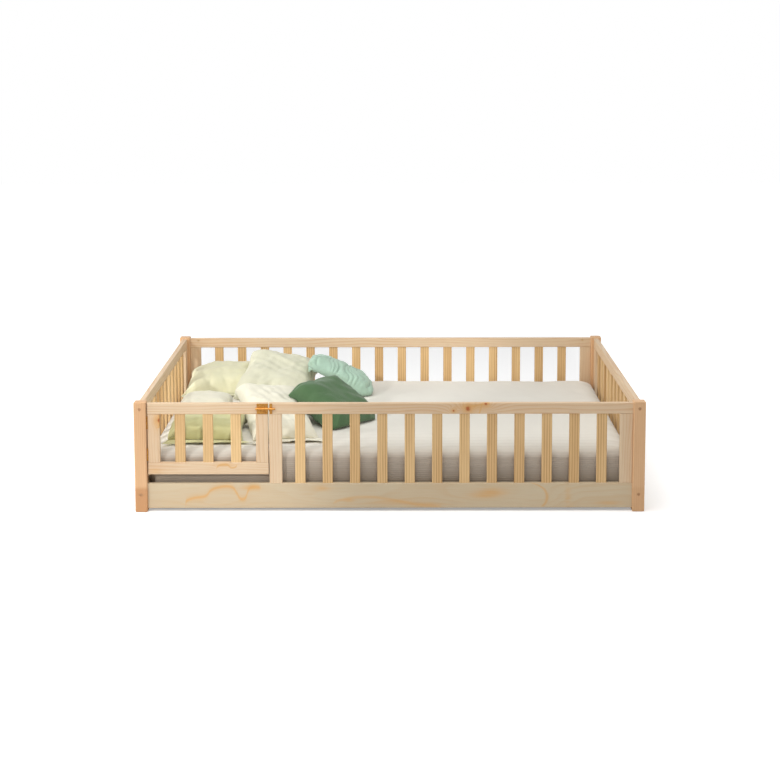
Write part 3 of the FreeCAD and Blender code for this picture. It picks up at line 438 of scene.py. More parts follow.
class BED_OT_rails(bpy.types.Operator):
    """Finish the top rails, the stiles and the gate's own timber."""
    bl_idname = "bed.rails"
    bl_label = "Rails and stiles"

    def execute(self, context):
        pine = context.scene.bed_timber
        kinds = dict(wood=pine.rail, ring=pine.rail_ring, spacing=pine.rail_spacing, settings=pine)
        wear(timber("pine rail front", "X", seed=7,
                    swirls=[((0.33, FRONT, 0.415), (0.1, 0.1, 0.03), 3.0)],
                    veins=[([(0.350, 0.392), (0.356, 0.410), (0.360, 0.432)], 0.003, 0.7, True),
                           ([(0.30, 0.414), (0.34, 0.424), (0.39, 0.432)], 0.004, 0.7, False)],
                    knots=[((0.306, FRONT, 0.411), 0.0105), ((0.250, FRONT, 0.403), 0.0045),
                           ((0.376, FRONT, 0.431), 0.0065)],
                    blushes=[(0.33, 0.418, 0.07, 0.014, 0.6)], **kinds), "top_rail_front")
        wear(timber("pine rail back", "X", seed=8, **kinds), "top_rail_back")
        wear(timber("pine rail ends", "Y", seed=9, **kinds), "top_rail_left", "top_rail_right")
        wear(timber("pine gate rails", "X", seed=10,
                    swirls=[((-0.652, FRONT, 0.178), (0.034, 0.1, 0.016), 2.0)],
                    veins=[([(-0.68, 0.164), (-0.675, 0.182), (-0.64, 0.188), (-0.62, 0.176), (-0.60, 0.184)],
                            0.004, 0.7, False)],
                    blushes=[(-0.645, 0.188, 0.045, 0.007, 0.6), (-0.92, 0.165, 0.03, 0.012, 0.4)], **kinds),
             "gate_top_rail", "gate_bottom_rail")
        wear(timber("pine gate stiles", "Z", seed=11,
                    veins=[([(-0.908, 0.335), (-0.900, 0.360), (-0.902, 0.388)], 0.006, 0.8, True)],
                    knots=[((-0.902, FRONT, 0.366), 0.008)],
                    blushes=[(-0.912, 0.36, 0.012, 0.04, 0.6)], **kinds),
             "gate_hinge_stile", "gate_latch_stile")
        wear(timber("pine stiles", "Z", seed=12, lines=0.35, **kinds),
             "gate_jamb", "stile_front_right", "stiles_back")
        wear(timber("pine end stiles", "Z side", seed=13, lines=0.35, **kinds),
             "stiles_left", "stiles_right")
        return {"FINISHED"}


class BED_OT_uprights(bpy.types.Operator):
    """Finish the posts and the spindles."""
    bl_idname = "bed.uprights"
    bl_label = "Posts and spindles"

    def execute(self, context):
        pine = context.scene.bed_timber
        kinds = dict(wood=pine.post, ring=pine.post_ring_and_foot_shade, settings=pine, wander=0.5)
        # The foot shares are painted shade at each post's foot, strongest on the front left post.
        for seed, (name, foot) in enumerate((("post_front_left", 0.75), ("post_front_right", 0.2),
                                             ("post_back_left", 0.2), ("post_back_right", 0.2))):
            wear(timber("pine " + name, "Z", spacing=pine.post_spacing, seed=20 + seed, lines=0.4,
                        foot=foot, **kinds), name)
        kinds = dict(wood=pine.spindle, ring=pine.spindle_ring, spacing=pine.spindle_spacing, settings=pine,
                     wander=0.22, lines=0.8)
        wear(timber("pine spindles front", "Z", seed=14, pitch=0.1075, **kinds), "spindles_front")
        wear(timber("pine spindles back", "Z", seed=15, pitch=0.1087, **kinds), "spindles_back")
        wear(timber("pine spindles gate", "Z", seed=16, pitch=0.1094, **kinds), "gate_spindles")
        wear(timber("pine spindles ends", "Z side", seed=17, pitch=0.1087, **kinds),
             "spindles_left", "spindles_right")
        return {"FINISHED"}


# ---- metal
def brass(name, settings):
    """Satin brass, browner in cloudy patches, with fine brushing."""
    tree = Tree(name)
    place = tree.place()
    cloud = tree.noise(place, 140.0, 3.0, 0.6)
    brush = tree.noise(place, 1.0, 2.0, 0.6, (160.0, 1500.0, 1500.0))
    tint = tree.mix(tree.between(cloud, 0.42, 0.7, 0.0, 0.7), settings.brass, settings.tarnish)
    rough = tree.plus(tree.between(cloud, 0.3, 0.7, 0.26, 0.42), tree.times(brush, 0.08))
    return tree.finish(Base_Color=tint, Metallic=1.0, Roughness=rough, Normal=tree.bump(brush, 0.12, 0.0002))


def steel(name, tint, roughness, metallic=1.0):
    """Plated or bronzed steel, or moulded plastic where it isn't metallic, with a fine mottle."""
    tree = Tree(name)
    mottle = tree.noise(tree.place(), 420.0, 3.0, 0.6)
    shade = tree.mix(tree.between(mottle, 0.3, 0.8, 0.0, 0.3), tint, tuple(0.55 * c for c in tint))
    rough = tree.between(mottle, 0.2, 0.8, roughness - 0.06, roughness + 0.1)
    return tree.finish(Base_Color=shade, Metallic=metallic, Roughness=rough,
                       Normal=tree.bump(mottle, 0.1, 0.0001))


class BED_OT_metal(bpy.types.Operator):
    """Finish the hinges, the surface bolt, the fasteners and the feet."""
    bl_idname = "bed.metal"
    bl_label = "Metal and feet"

    def execute(self, context):
        metal = context.scene.bed_metal
        wear(brass("satin brass", metal), "hinge_post_leaves", "hinge_gate_leaves", "hinge_pins",
             "hinge_post_screws", "hinge_gate_screws", "latch_plate", "latch_rod", "latch_keeper",
             "latch_plate_screws", "latch_keeper_screws")
        wear(steel("bronzed steel", metal.bronzed, 0.5, metallic=0.3), "bolts_lengthwise", "bolts_crosswise")
        wear(steel("zinc plate", metal.zinc, 0.34), "barrel_nuts", "beam_brackets", "bracket_screws",
             "ledger_screws", "slat_screws")
        wear(steel("moulded foot", metal.foot, 0.62, metallic=0.0), "beam_feet")
        return {"FINISHED"}


# ---- cloth finishes
def cotton(name, tint, pitch, crinkle):
    """Woven cotton: threads over and under in the case's own UV, cloudy slubs, a darker stitched edge and
    painted shade in the fold valleys.
    """
    tree = Tree(name)
    uv = tree.node("ShaderNodeUVMap", {}, uv_map="cloth")
    u, v, _ = tree.parts(uv)
    turn = 2 * math.pi / pitch
    warp = tree.math("SINE", tree.times(u, turn))
    weft = tree.math("SINE", tree.times(v, turn))
    weave = tree.times(warp, weft)
    slub = tree.noise(uv, 1.0, 3.0, 0.6, (60.0, 420.0, 1.0))
    soft = tree.noise(uv, 26.0, 3.0, 0.55)
    dark = tuple(0.72 * c for c in tint)
    shade = tree.mix(tree.between(slub, 0.35, 0.8, 0.0, 0.12), tint, dark)
    shade = tree.mix(tree.between(soft, 0.35, 0.75, 0.0, 0.12), shade, dark)
    # The attribute darkens the stitched edge and paints shade into the fold valleys; the mint's crinkle
    # darkens both more.
    edge = tree.node("ShaderNodeAttribute", {}, out="Fac", attribute_name="seam_and_crease_shade")
    shade = tree.mix(tree.times(edge, 0.4 + 0.9 * crinkle), shade, dark)
    normal = tree.bump(weave, 0.18, 0.0003)
    normal = tree.bump(soft, 0.25 + crinkle, 0.002 + 0.004 * crinkle, normal)
    return tree.finish(Base_Color=shade, Roughness=0.86, Sheen_Weight=0.25, Sheen_Roughness=0.5,
                       Specular_IOR_Level=0.2, Normal=normal)


def knit_cover(name, settings, side_top):
    """The mattress cover: a pale top with faint seams along its edge, over a taupe side with level ribs.

    The side's taupe is the top's cloth painted in shade, darker still towards its foot, and the grooves of
    the ribs and of the faint seams are painted darker as shade.
    """
    tree = Tree(name)
    place = tree.place()
    _, y, z = tree.parts(place)
    drift = tree.noise(place, 1.0, 2.0, 0.5, (3.0, 3.0, 20.0))
    sway = tree.times(drift, 5.0)
    rib = tree.math("SINE", tree.plus(tree.times(z, 2 * math.pi / settings.rib_pitch), sway))
    line = tree.math("SINE", tree.plus(tree.times(y, 2 * math.pi / settings.line_pitch), sway))
    low = tree.between(z, side_top - 0.042, side_top - 0.004, 1.0, 0.0)
    knit = tree.noise(place, 1.0, 2.0, 0.6, (500.0, 500.0, 500.0))
    streak = tree.noise(place, 1.0, 3.0, 0.6, (5.0, 5.0, 160.0))
    # Painted shade: the side darkens from the side's shade colour down to the foot's, where the board shades
    # it.
    side = tree.mix(tree.between(z, 0.105, side_top - 0.03), settings.cover_foot_shade, settings.cover_side_shade)
    side = tree.mix(tree.between(streak, 0.3, 0.75, 0.0, 0.3), side, settings.cover_foot_shade)
    # Painted shade in the grooves between the ribs.
    groove_shade = tuple(0.6 * c for c in settings.cover_side_shade)
    side = tree.mix(tree.between(rib, -1.0, 0.2, 0.22, 0.0), side, groove_shade)
    # The faint lines near the front are grooves, painted darker with the side's shade colour.
    near = tree.times(tree.between(y, -0.62, -0.30, 0.14, 0.0), tree.between(line, -1.0, -0.4, 1.0, 0.0))
    top = tree.mix(near, settings.cover_top, settings.cover_side_shade)
    shade = tree.mix(low, top, side)
    height = tree.plus(tree.times(rib, low, 0.6), tree.times(knit, 0.4))
    height = tree.minus(height, tree.times(near, 5.0))
    return tree.finish(Base_Color=shade, Roughness=0.9, Sheen_Weight=0.2, Sheen_Roughness=0.5,
                       Specular_IOR_Level=0.15, Normal=tree.bump(height, 0.35, 0.0012))


# ---- surfaces
RIPPLE_WAVES = 14


def ripple(x, y, wave, seed):
    """Smooth seeded noise of about unit size: a sum of cosines whose wavelengths lie round wave."""
    pick = np.random.default_rng(seed)
    way = pick.uniform(0, 2 * np.pi, RIPPLE_WAVES)
    rate = 2 * np.pi / (wave * pick.uniform(0.7, 1.8, RIPPLE_WAVES))
    phase = pick.uniform(0, 2 * np.pi, RIPPLE_WAVES)
    total = sum(np.cos(r * (np.cos(a) * x + np.sin(a) * y) + p) for r, a, p in zip(rate, way, phase))
    return total * math.sqrt(2 / RIPPLE_WAVES)


def placed(name, data):
    """A new object of the data, in the scene."""
    holder = bpy.data.objects.new(name, data)
    bpy.context.scene.collection.objects.link(holder)
    return holder


def mesh_piece(name, points, faces, material, uv=None, seam_and_crease_shade=None):
    """A smooth-shaded object from arrays of points and quads, with its place in its mesh."""
    mesh = bpy.data.meshes.new(name)
    mesh.from_pydata(points.tolist(), [], faces.tolist())
    mesh.polygons.foreach_set("use_smooth", np.ones(len(faces), bool))
    if uv is not None:
        layer = mesh.uv_layers.new(name="cloth")
        corners = np.empty(len(mesh.loops), np.int32)
        mesh.loops.foreach_get("vertex_index", corners)
        layer.data.foreach_set("uv", uv[corners].astype(np.float32).ravel())
    if seam_and_crease_shade is not None:
        attribute = mesh.attributes.new("seam_and_crease_shade", "FLOAT", "POINT")
        attribute.data.foreach_set("value", seam_and_crease_shade.astype(np.float32))
    mesh.materials.append(material)
    mesh.validate()
    return placed(name, mesh)


def subdivide(piece):
    smoother = piece.modifiers.new("smoother", "SUBSURF")
    smoother.levels = 1
    smoother.render_levels = 1


def grid_quads(index):
    """Quads between neighbours of a grid of point numbers."""
    return np.stack([index[:-1, :-1], index[1:, :-1], index[1:, 1:], index[:-1, 1:]], axis=-1).reshape(-1, 4)


# ---- mattress
MATTRESS_CORNER = 0.050
MATTRESS_ROLL = 0.034      # height of the rolled edges
MATTRESS_EASE = 0.075      # how far in the top starts to fall
MATTRESS_CROWN = 0.005
RING_STEP = 0.012
RING_POINTS = 720


def outline_ring(half_x, half_y, corner):
    """RING_POINTS points round a rounded rectangle, evenly spaced on its four sides and four quarter arcs."""
    straight_x = 2 * (half_x - corner)
    straight_y = 2 * (half_y - corner)
    arc = math.pi * corner / 2
    walk = np.linspace(0, 2 * (straight_x + straight_y) + 4 * arc, RING_POINTS, endpoint=False)
    lengths = [straight_y, arc, straight_x, arc] * 2
    starts = np.cumsum([0.0] + lengths)
    x, y = np.zeros((2, RING_POINTS))
    corners = [(1, 1), (-1, 1), (-1, -1), (1, -1)]
    for leg in range(4):
        on_side = (walk >= starts[2 * leg]) & (walk < starts[2 * leg + 1])
        on_arc = (walk >= starts[2 * leg + 1]) & (walk < starts[2 * leg + 2])
        side_x, side_y = corners[leg]
        centre = (side_x * (half_x - corner), side_y * (half_y - corner))
        heading = math.pi / 2 * leg
        outward = (math.cos(heading), math.sin(heading))
        run = walk[on_side] - starts[2 * leg] - lengths[2 * leg]
        x[on_side] = centre[0] + corner * outward[0] - run * outward[1]
        y[on_side] = centre[1] + corner * outward[1] + run * outward[0]
        bearing = heading + (walk[on_arc] - starts[2 * leg + 1]) / max(corner, 1e-9)
        x[on_arc] = centre[0] + corner * np.cos(bearing)
        y[on_arc] = centre[1] + corner * np.sin(bearing)
    return x, y


def mattress_levels(thickness):
    """(inset, height) pairs from under the middle, up the rolled side, to the middle of the top."""
    roll = [(1 - math.sin(a), MATTRESS_ROLL * (1 - math.cos(a))) for a in np.linspace(0, math.pi / 2, 11)]
    side_top = thickness - MATTRESS_CROWN
    levels = [(0.5, 0.0), (0.2, 0.0)] + [(MATTRESS_ROLL * share, rise) for share, rise in roll]
    levels += [(0.0, h) for h in np.arange(MATTRESS_ROLL + 0.010, side_top - MATTRESS_ROLL, RING_STEP)]
    levels += [(MATTRESS_EASE * share, side_top - rise) for share, rise in reversed(roll)]
    levels += [(MATTRESS_EASE + d, side_top) for d in np.arange(RING_STEP, 0.60, RING_STEP)]
    return levels


class BED_OT_mattress(bpy.types.Operator):
    """Make the mattress with its knitted cover."""
    bl_idname = "bed.mattress"
    bl_label = "Mattress"

    def execute(self, context):
        low, high = (np.array(corner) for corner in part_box("mattress"))
        half_x, half_y = (high - low)[:2] / 2
        thickness = high[2] - low[2]
        levels = mattress_levels(thickness)
        rings = []
        for inset, rise in levels:
            x, y = outline_ring(half_x - inset, half_y - inset, min(MATTRESS_CORNER, half_y - inset))
            edge = np.minimum(half_x - np.abs(x), half_y - np.abs(y))
            crown = MATTRESS_CROWN * np.clip(edge / 0.3, 0, 1) * (rise > thickness / 2)
            rings.append(np.stack([x, y, low[2] + rise + crown], axis=1))
        points = np.concatenate(rings)
        x, y, z = points.T
        top = np.clip((z - high[2] + 0.04) / 0.03, 0, 1)
        sheet = 0.0012 * ripple(x, y, 0.25, 3) + 0.0006 * ripple(x, y, 0.09, 4)
        z = z + top * (sheet - 0.0022)
        side = (1 - top) * np.clip((z - low[2]) / 0.03, 0, 1)
        y = y + side * np.sign(-y) * 0.0012 * (1 + ripple(x, z, 0.12, 5)) * (np.abs(y) > half_y - 0.03)
        points = np.stack([x, y, z], axis=1)
        index = np.arange(len(points)).reshape(len(levels), RING_POINTS)
        index = np.concatenate([index, index[:, :1]], axis=1)
        faces = grid_quads(index)[:, ::-1]
        settings = context.scene.bed_bedding
        piece = mesh_piece("mattress_cover", points, faces, knit_cover("knitted cover", settings, high[2]))
        outward_faces(piece, (index[0, :-1], index[-1, :-1]))
        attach(piece, "frame")
        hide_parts("mattress")
        return {"FINISHED"}


def outward_faces(piece, rings=()):
    """Caps open rings of points with one face each, and turns all faces outwards."""
    shape = bmesh.new()
    shape.from_mesh(piece.data)
    shape.verts.ensure_lookup_table()
    for ring in rings:
        face = shape.faces.new([shape.verts[i] for i in ring])
        face.smooth = True
    bmesh.ops.recalc_face_normals(shape, faces=shape.faces)
    shape.to_mesh(piece.data)
    shape.free()


# ---- pillows
SUPPORT_STEP = 0.010


class Support:
    """Heights of what already lies on the bed, on a square grid."""

    def __init__(self, low, high):
        self.low = np.array(low[:2])
        shape = np.ceil((np.array(high[:2]) - self.low) / SUPPORT_STEP).astype(int) + 2
        self.height = np.full(shape, high[2])

    def cells(self, points):
        spots = (points[:, :2] - self.low) / SUPPORT_STEP
        return np.clip(spots, 0, np.array(self.height.shape) - 1.001)

    def lay(self, points):
        """Raises the grid to a piece that has been laid."""
        i, j = np.round(self.cells(points)).astype(int).T
        np.maximum.at(self.height, (i, j), points[:, 2])

    def under(self, points):
        """Height below each point, blended between the four cells round it."""
        spots = self.cells(points)
        i, j = np.floor(spots).astype(int).T
        a, b = (spots - np.floor(spots)).T
        h = self.height
        return ((1 - a) * (1 - b) * h[i, j] + a * (1 - b) * h[i + 1, j]
                + (1 - a) * b * h[i, j + 1] + a * b * h[i + 1, j + 1])


BELLY = 0.16             # share of the thickness below the seam
SIDE_DRAW = 0.04
CLOTH = {"quality": 6, "mass": 0.15, "tension_stiffness": 15, "compression_stiffness": 15,
         "shear_stiffness": 5, "bending_stiffness": 0.03, "shrink_min": -0.03, "use_pressure": True,
         "uniform_pressure_force": 4.0}
CLOTH_FRAMES = 20
CLOTH_CAP = 0.012        # the furthest that blowing up moves a point
CLOTH_START = 0.97       # share of their size at which the sheets start


def pillow_sheets(size, taper, full, rows, columns):
    """Two sheets over a rectangle, stitched together along its edge.

    With u and v from -1 to 1, the outline's sides are drawn in by a share of (1 - v^2) and (1 - u^2), its
    ends are rounded by a taper of u^6, and the height over the seam is ((1 - |u|^full)(1 - |v|^full))^0.5.
    BELLY is the lower sheet's share of it. Also returned: u, v, the way to the seam and the upper grid.
    """
    half_l, half_w, thick = size[0] / 2, size[1] / 2, size[2]
    u, v = np.meshgrid(np.linspace(-1, 1, rows), np.linspace(-1, 1, columns), indexing="ij")
    x = half_l * u * (1 - SIDE_DRAW * (1 - v * v) * np.abs(u)) * (1 - 0.3 * taper * v ** 4)
    y = half_w * v * (1 - SIDE_DRAW * (1 - u * u) * np.abs(v)) * (1 - taper * u ** 6)
    swell = ((1 - np.abs(u) ** full) * (1 - np.abs(v) ** full)) ** 0.5
    over = np.stack([x, y, (1 - BELLY) * thick * swell], axis=-1).reshape(-1, 3)
    under = np.stack([x, y, -BELLY * thick * swell], axis=-1).reshape(-1, 3)
    index = np.arange(rows * columns).reshape(rows, columns)
    inner = np.zeros((rows, columns), bool)
    inner[1:-1, 1:-1] = True
    below = index.copy()
    below[inner] = rows * columns + np.arange(inner.sum())
    inner = inner.ravel()
    points = np.concatenate([over, under[inner]])
    faces = np.concatenate([grid_quads(index), grid_quads(below)[:, ::-1]])
    u, v = (np.concatenate([grid.ravel(), grid.ravel()[inner]]) for grid in (u, v))
    seam = np.minimum((1 - np.abs(u)) * half_l, (1 - np.abs(v)) * half_w)
    return points, faces, u, v, seam, index


def inflated(points, faces):
    """The stitched sheets blown up as cloth with no gravity; no point moves further than the cap."""
    mesh = bpy.data.meshes.new("case")
    mesh.from_pydata(points.tolist(), [], faces.tolist())
    case = placed("case", mesh)
    scene = bpy.context.scene
    cloth = case.modifiers.new("cloth", "CLOTH")
    for key, value in CLOTH.items():
        setattr(cloth.settings, key, value)
    cloth.settings.effector_weights.gravity = 0.0
    cloth.collision_settings.use_collision = False
    cloth.point_cache.frame_start = 1
    cloth.point_cache.frame_end = CLOTH_FRAMES
    for number in range(1, CLOTH_FRAMES + 1):
        scene.frame_set(number)
    blown = case.evaluated_get(bpy.context.evaluated_depsgraph_get()).to_mesh()
    result = np.empty(len(blown.vertices) * 3)
    blown.vertices.foreach_get("co", result)
    result = result.reshape(-1, 3)
    bpy.data.objects.remove(case)
    bpy.data.meshes.remove(mesh)
    scene.frame_set(1)
    move = result - points
    far = np.linalg.norm(move, axis=1, keepdims=True)
    return points + move * np.minimum(1.0, CLOTH_CAP / np.maximum(far, 1e-9))


# Each pillow: length, width and thickness in metres; turn about Z, tilt about its own X and roll about its
# own Y in degrees; its cloth; its front hem's width, reach past the left and right ends, and how much longer
# it is on the right; the depth of the ruches at its seams; the taper of its ends; how full it is; and how
# much it settles.
PILLOWS = {
    "pillow_sage": ((0.350, 0.400, 0.115), (0, 3, -3), "sage", (0.026, 0, 0.02, 0), 0.0022, 0, 2.6, 0.7),
    "pillow_cream_back": ((0.335, 0.380, 0.122), (-9, 17, 8), "ivory_in_shade", None, 0.0016, 0, 5.0, 0.5),
    "pillow_cream_left": ((0.235, 0.285, 0.098), (6, 2, 0), "cream", None, 0.0012, 0, 3.0, 0.7),
    "pillow_lime": ((0.310, 0.345, 0.096), (2, 3, 3), "lime", (0.038, 0.022, 0.045, 0), 0.0020, 0, 4.0, 0.7),
    "pillow_cream_front": ((0.280, 0.600, 0.104), (13, 9, 7), "cream", (0.038, 0, 0.02, 0.9), 0.0020, 0, 5.0,
                           0.6),
    "cushion_mint": ((0.325, 0.165, 0.084), (-6, 7, 27), "mint", None, 0.0012, 0.40, 3.4, 0.5),
    "cushion_green": ((0.275, 0.295, 0.130), (50, 28, 2), "green", None, 0.0012, 0.06, 6.0, 0.3),
}
GATHERS = {"cushion_mint": (12, 0.0085)}        # their count across the pillow, and their depth
NUDGES = {"cushion_green": (-0.008, 0.009, 0.010), "cushion_mint": (-0.006, 0.0, 0.0)}
PILLOW_STEP = 0.0052     # distance between neighbouring points of a pillow
GATHER_STEP = 0.0034     # the same where the cloth is gathered
SETTLE_HEIGHT = 0.045    # how high above what is below it a pillow's underside still sinks
CONTACT_GAP = 0.0006
HEM_ROWS = 6
HEM_CLOTH = 0.0016       # thickness of a doubled hem
SEAM_HOLD = 0.010        # how far from a seam the cloth is still held flat
RUCHE_PITCH = 0.024
RUCHE_FADE = 0.022       # how far the ruches run in from a seam
CORNER_FAN = 0.075       # how far the folds reach from a corner


def turned(points, turns):
    """Points turned about Z, then about their own X, then about their own Y."""
    turn, tilt, roll = (math.radians(a) for a in turns)
    matrix = Matrix.Rotation(turn, 3, "Z") @ Matrix.Rotation(tilt, 3, "X") @ Matrix.Rotation(roll, 3, "Y")
    return points @ np.array(matrix).T


def fitted(points, size):
    """Points scaled about their middle so that their box has a given size."""
    low, high = points.min(axis=0), points.max(axis=0)
    return (points - (low + high) / 2) * (np.array(size) / (high - low))


def creases(points, u, v, seam, size, ruche, gathers, seed):
    """How far the cloth stands out of the plump form, in metres, and how deep in a fold's valley it is, from 0
    to 1, for painted shade.

    Broad soft folds; ruches that run in from the seams and fade; folds that fan out from the corners; and
    gathers across, round-topped with sharp valleys.
    """
    x, y = points[:, 0], points[:, 1]
    inside = 1 - np.exp(-(seam / SEAM_HOLD) ** 2)
    folds = 0.0026 * ripple(x, y, 0.15, seed + 50) + 0.0010 * ripple(x, y, 0.05, seed + 60)
    on_end = (1 - np.abs(u)) * size[0] < (1 - np.abs(v)) * size[1]
    run = np.where(on_end, y, x) + 0.010 * ripple(x, y, 0.12, seed + 70)
    tuck = np.abs(np.sin(np.pi * run / RUCHE_PITCH))
    folds = folds + ruche * (tuck - 0.64) * np.exp(-seam / RUCHE_FADE)
    # Painted shade: the valleys of the ruches, and below those of the gathers, are marked for darkening.
    crease_shade = 0.5 * np.exp(-(tuck / 0.35) ** 2 - seam / 0.018)
    for side_u in (-1, 1):
        for side_v in (-1, 1):
            away_x = (1 - side_u * u) * size[0] / 2
            away_y = (1 - side_v * v) * size[1] / 2
            away = np.hypot(away_x, away_y)
            fan = np.sin(7.0 * np.arctan2(away_y, away_x) + seed + 2.0 * side_u + side_v)
            folds = folds + 0.0042 * fan * np.exp(-(away / CORNER_FAN) ** 2) * np.clip(away / 0.03, 0, 1)
    count, depth = gathers
    if count:
        phase = np.pi * count * (u + 0.09 * ripple(x, y, 0.11, seed) + 0.05 * v) / 2
        strength = np.clip(0.75 + 0.35 * ripple(x, y, 0.09, seed + 80), 0.1, 1.3)
        folds = folds + depth * strength * (np.abs(np.sin(phase)) ** 0.6 - 0.75)
        crease_shade = np.maximum(crease_shade, 0.9 * strength * np.exp(-(np.sin(phase) / 0.35) ** 2))
    return folds * inside, crease_shade


def hem(points, edge, turn, widths, support, seed):
    """A doubled strip of cloth stitched on along an edge, which dips in soft waves to what is below it."""
    width, left, right, longer = widths
    along, forth = (turned(np.array([way]), (turn, 0, 0)) for way in ((1.0, 0.0, 0.0), (0.0, -1.0, 0.0)))
    steps = np.linspace(0, 1, HEM_ROWS)[:, None, None]
    share = np.linspace(0, 1, len(edge))[:, None]
    spread = right * share ** 6 - left * (1 - share) ** 6
    strip = points[edge][None] + steps * (width * (1 + longer * share ** 2) * forth + spread * along)
    run = np.linalg.norm(np.diff(points[edge], axis=0, prepend=points[edge][:1]), axis=1).cumsum()
    wave = 0.5 + 0.5 * np.clip(ripple(run, 0 * run, 0.07, seed), -1, 1)
    low = support.under(strip.reshape(-1, 3)).reshape(strip.shape[:2]) + CONTACT_GAP
    rise = np.maximum(strip[..., 2] - low, 0)
    strip[..., 2] = low + rise * (1 - steps[..., 0]) ** 1.5 + 0.004 * wave * steps[..., 0]
    sheet = np.concatenate([strip, strip[::-1] + (0, 0, HEM_CLOTH)])
    rows, columns = sheet.shape[:2]
    index = np.arange(rows * columns).reshape(rows, columns)
    index = np.concatenate([index, index[:1]])
    ends = np.array([[index[k, c] for k in (i, i + 1, rows - 2 - i, rows - 1 - i)]
                     for c in (0, columns - 1) for i in range(HEM_ROWS - 1)])
    return sheet.reshape(-1, 3), np.concatenate([grid_quads(index), ends])


def outward(points, faces):
    """Unit normals of the points of a quad mesh."""
    a, b, c, d = points[faces.T]
    across = np.cross(c - a, d - b)
    total = np.zeros_like(points)
    for corner in faces.T:
        np.add.at(total, corner, across)
    return total / np.maximum(np.linalg.norm(total, axis=1, keepdims=True), 1e-12)


def laid_pillow(name, seed, support):
    """Points, faces, UV and the darkening for the stitched edge and painted fold shade of one pillow, lying on
    what is below it.
    """
    size, turns, _, hem_widths, ruche, taper, full, settle = PILLOWS[name]
    gathers = GATHERS.get(name, (0, 0.0))
    width = hem_widths[0] if hem_widths else 0.0
    body = (size[0], size[1] - width, size[2])
    step = GATHER_STEP if gathers[0] else PILLOW_STEP
    rows, columns = int(body[0] / step), int(body[1] / step)
    points, faces, u, v, seam, index = pillow_sheets(body, taper, full, rows, columns)
    lower = np.arange(len(points)) >= rows * columns
    start = CLOTH_START * points
    start[:, 2] += 0.0008 * ripple(points[:, 0], points[:, 1], 0.05, seed) * (seam > 0)
    points = inflated(start, faces)
    points = fitted(points, body)
    uv = np.stack([u * body[0] / 2, v * body[1] / 2], axis=1)
    uv[lower] += 1.0
    folds, crease_shade = creases(points, u, v, seam, body, ruche, gathers, seed)
    # The stitched edge's dark line together with the painted shade in the fold valleys.
    seam_and_crease_shade = np.maximum(np.exp(-(seam / 0.003) ** 2), crease_shade)
    points = points + outward(points, faces) * folds[:, None]

    points = turned(points, turns)
    low, high = (np.array(corner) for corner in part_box(name))
    middle = (points.min(axis=0) + points.max(axis=0)) / 2
    nudge = np.array(NUDGES.get(name, (0.0, 0.0, 0.0)))
    points = points - middle + (low + high) / 2 + nudge
    points = points + turned(np.array([[0, width / 2, 0]]), (turns[0], 0, 0))
    points[:, 2] += high[2] - 0.002 + nudge[2] - points[:, 2].max()
    floor = support.under(points) + CONTACT_GAP
    sag = np.where(lower, 1.0, np.exp(-(seam / 0.035) ** 2))
    clear = np.maximum(points[:, 2] - floor, 0)
    drop = settle * sag * clear * np.exp(-(clear / SETTLE_HEIGHT) ** 2)
    points[:, 2] = np.maximum(points[:, 2] - drop, floor)
    if width:
        strip, strip_faces = hem(points, index[:, 0], turns[0], hem_widths, support, seed)
        count = len(strip)
        run = np.arange(count) % rows * step
        uv = np.concatenate([uv, np.stack([run, strip[:, 1]], axis=1)])
        seam_and_crease_shade = np.concatenate([seam_and_crease_shade, np.zeros(count)])
        faces = np.concatenate([faces, strip_faces + len(points)])
        points = np.concatenate([points, strip])
    return points, faces, uv, seam_and_crease_shade


class BED_OT_pillows(bpy.types.Operator):
    """Make the pillows and cushions, each laid on what is below it."""
    bl_idname = "bed.pillows"
    bl_label = "Pillows and cushions"

    def execute(self, context):
        settings = context.scene.bed_bedding
        finishes = {kind: cotton(kind + " cotton", getattr(settings, kind), settings.weave_pitch,
                                 crinkle=0.5 if kind == "mint" else 0.0)
                    for kind in ("cream", "ivory_in_shade", "sage", "lime", "mint", "green")}
        support = Support(*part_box("mattress"))
        for seed, name in enumerate(PILLOWS):
            points, faces, uv, seam_and_crease_shade = laid_pillow(name, seed, support)
            support.lay(points)
            kind = PILLOWS[name][2]
            piece = mesh_piece(name + "_case", points, faces, finishes[kind], uv, seam_and_crease_shade)
            outward_faces(piece)
            subdivide(piece)
            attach(piece, "frame")
            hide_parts(name)
        return {"FINISHED"}


# ---- stage
KEY_CONE = math.radians(32.3)
BEHIND = 2.9        # where the floor behind the bed is whiter again


def lamp(name, kind, place, aim, watts, **settings):
    """A lamp of a kind, aimed at a point."""
    data = bpy.data.lights.new(name, kind)
    data.energy = watts
    for key, value in settings.items():
        setattr(data, key, value)
    holder = placed(name, data)
    holder.location = place
    holder.rotation_euler = (Vector(aim) - Vector(place)).to_track_quat("-Z", "Y").to_euler()


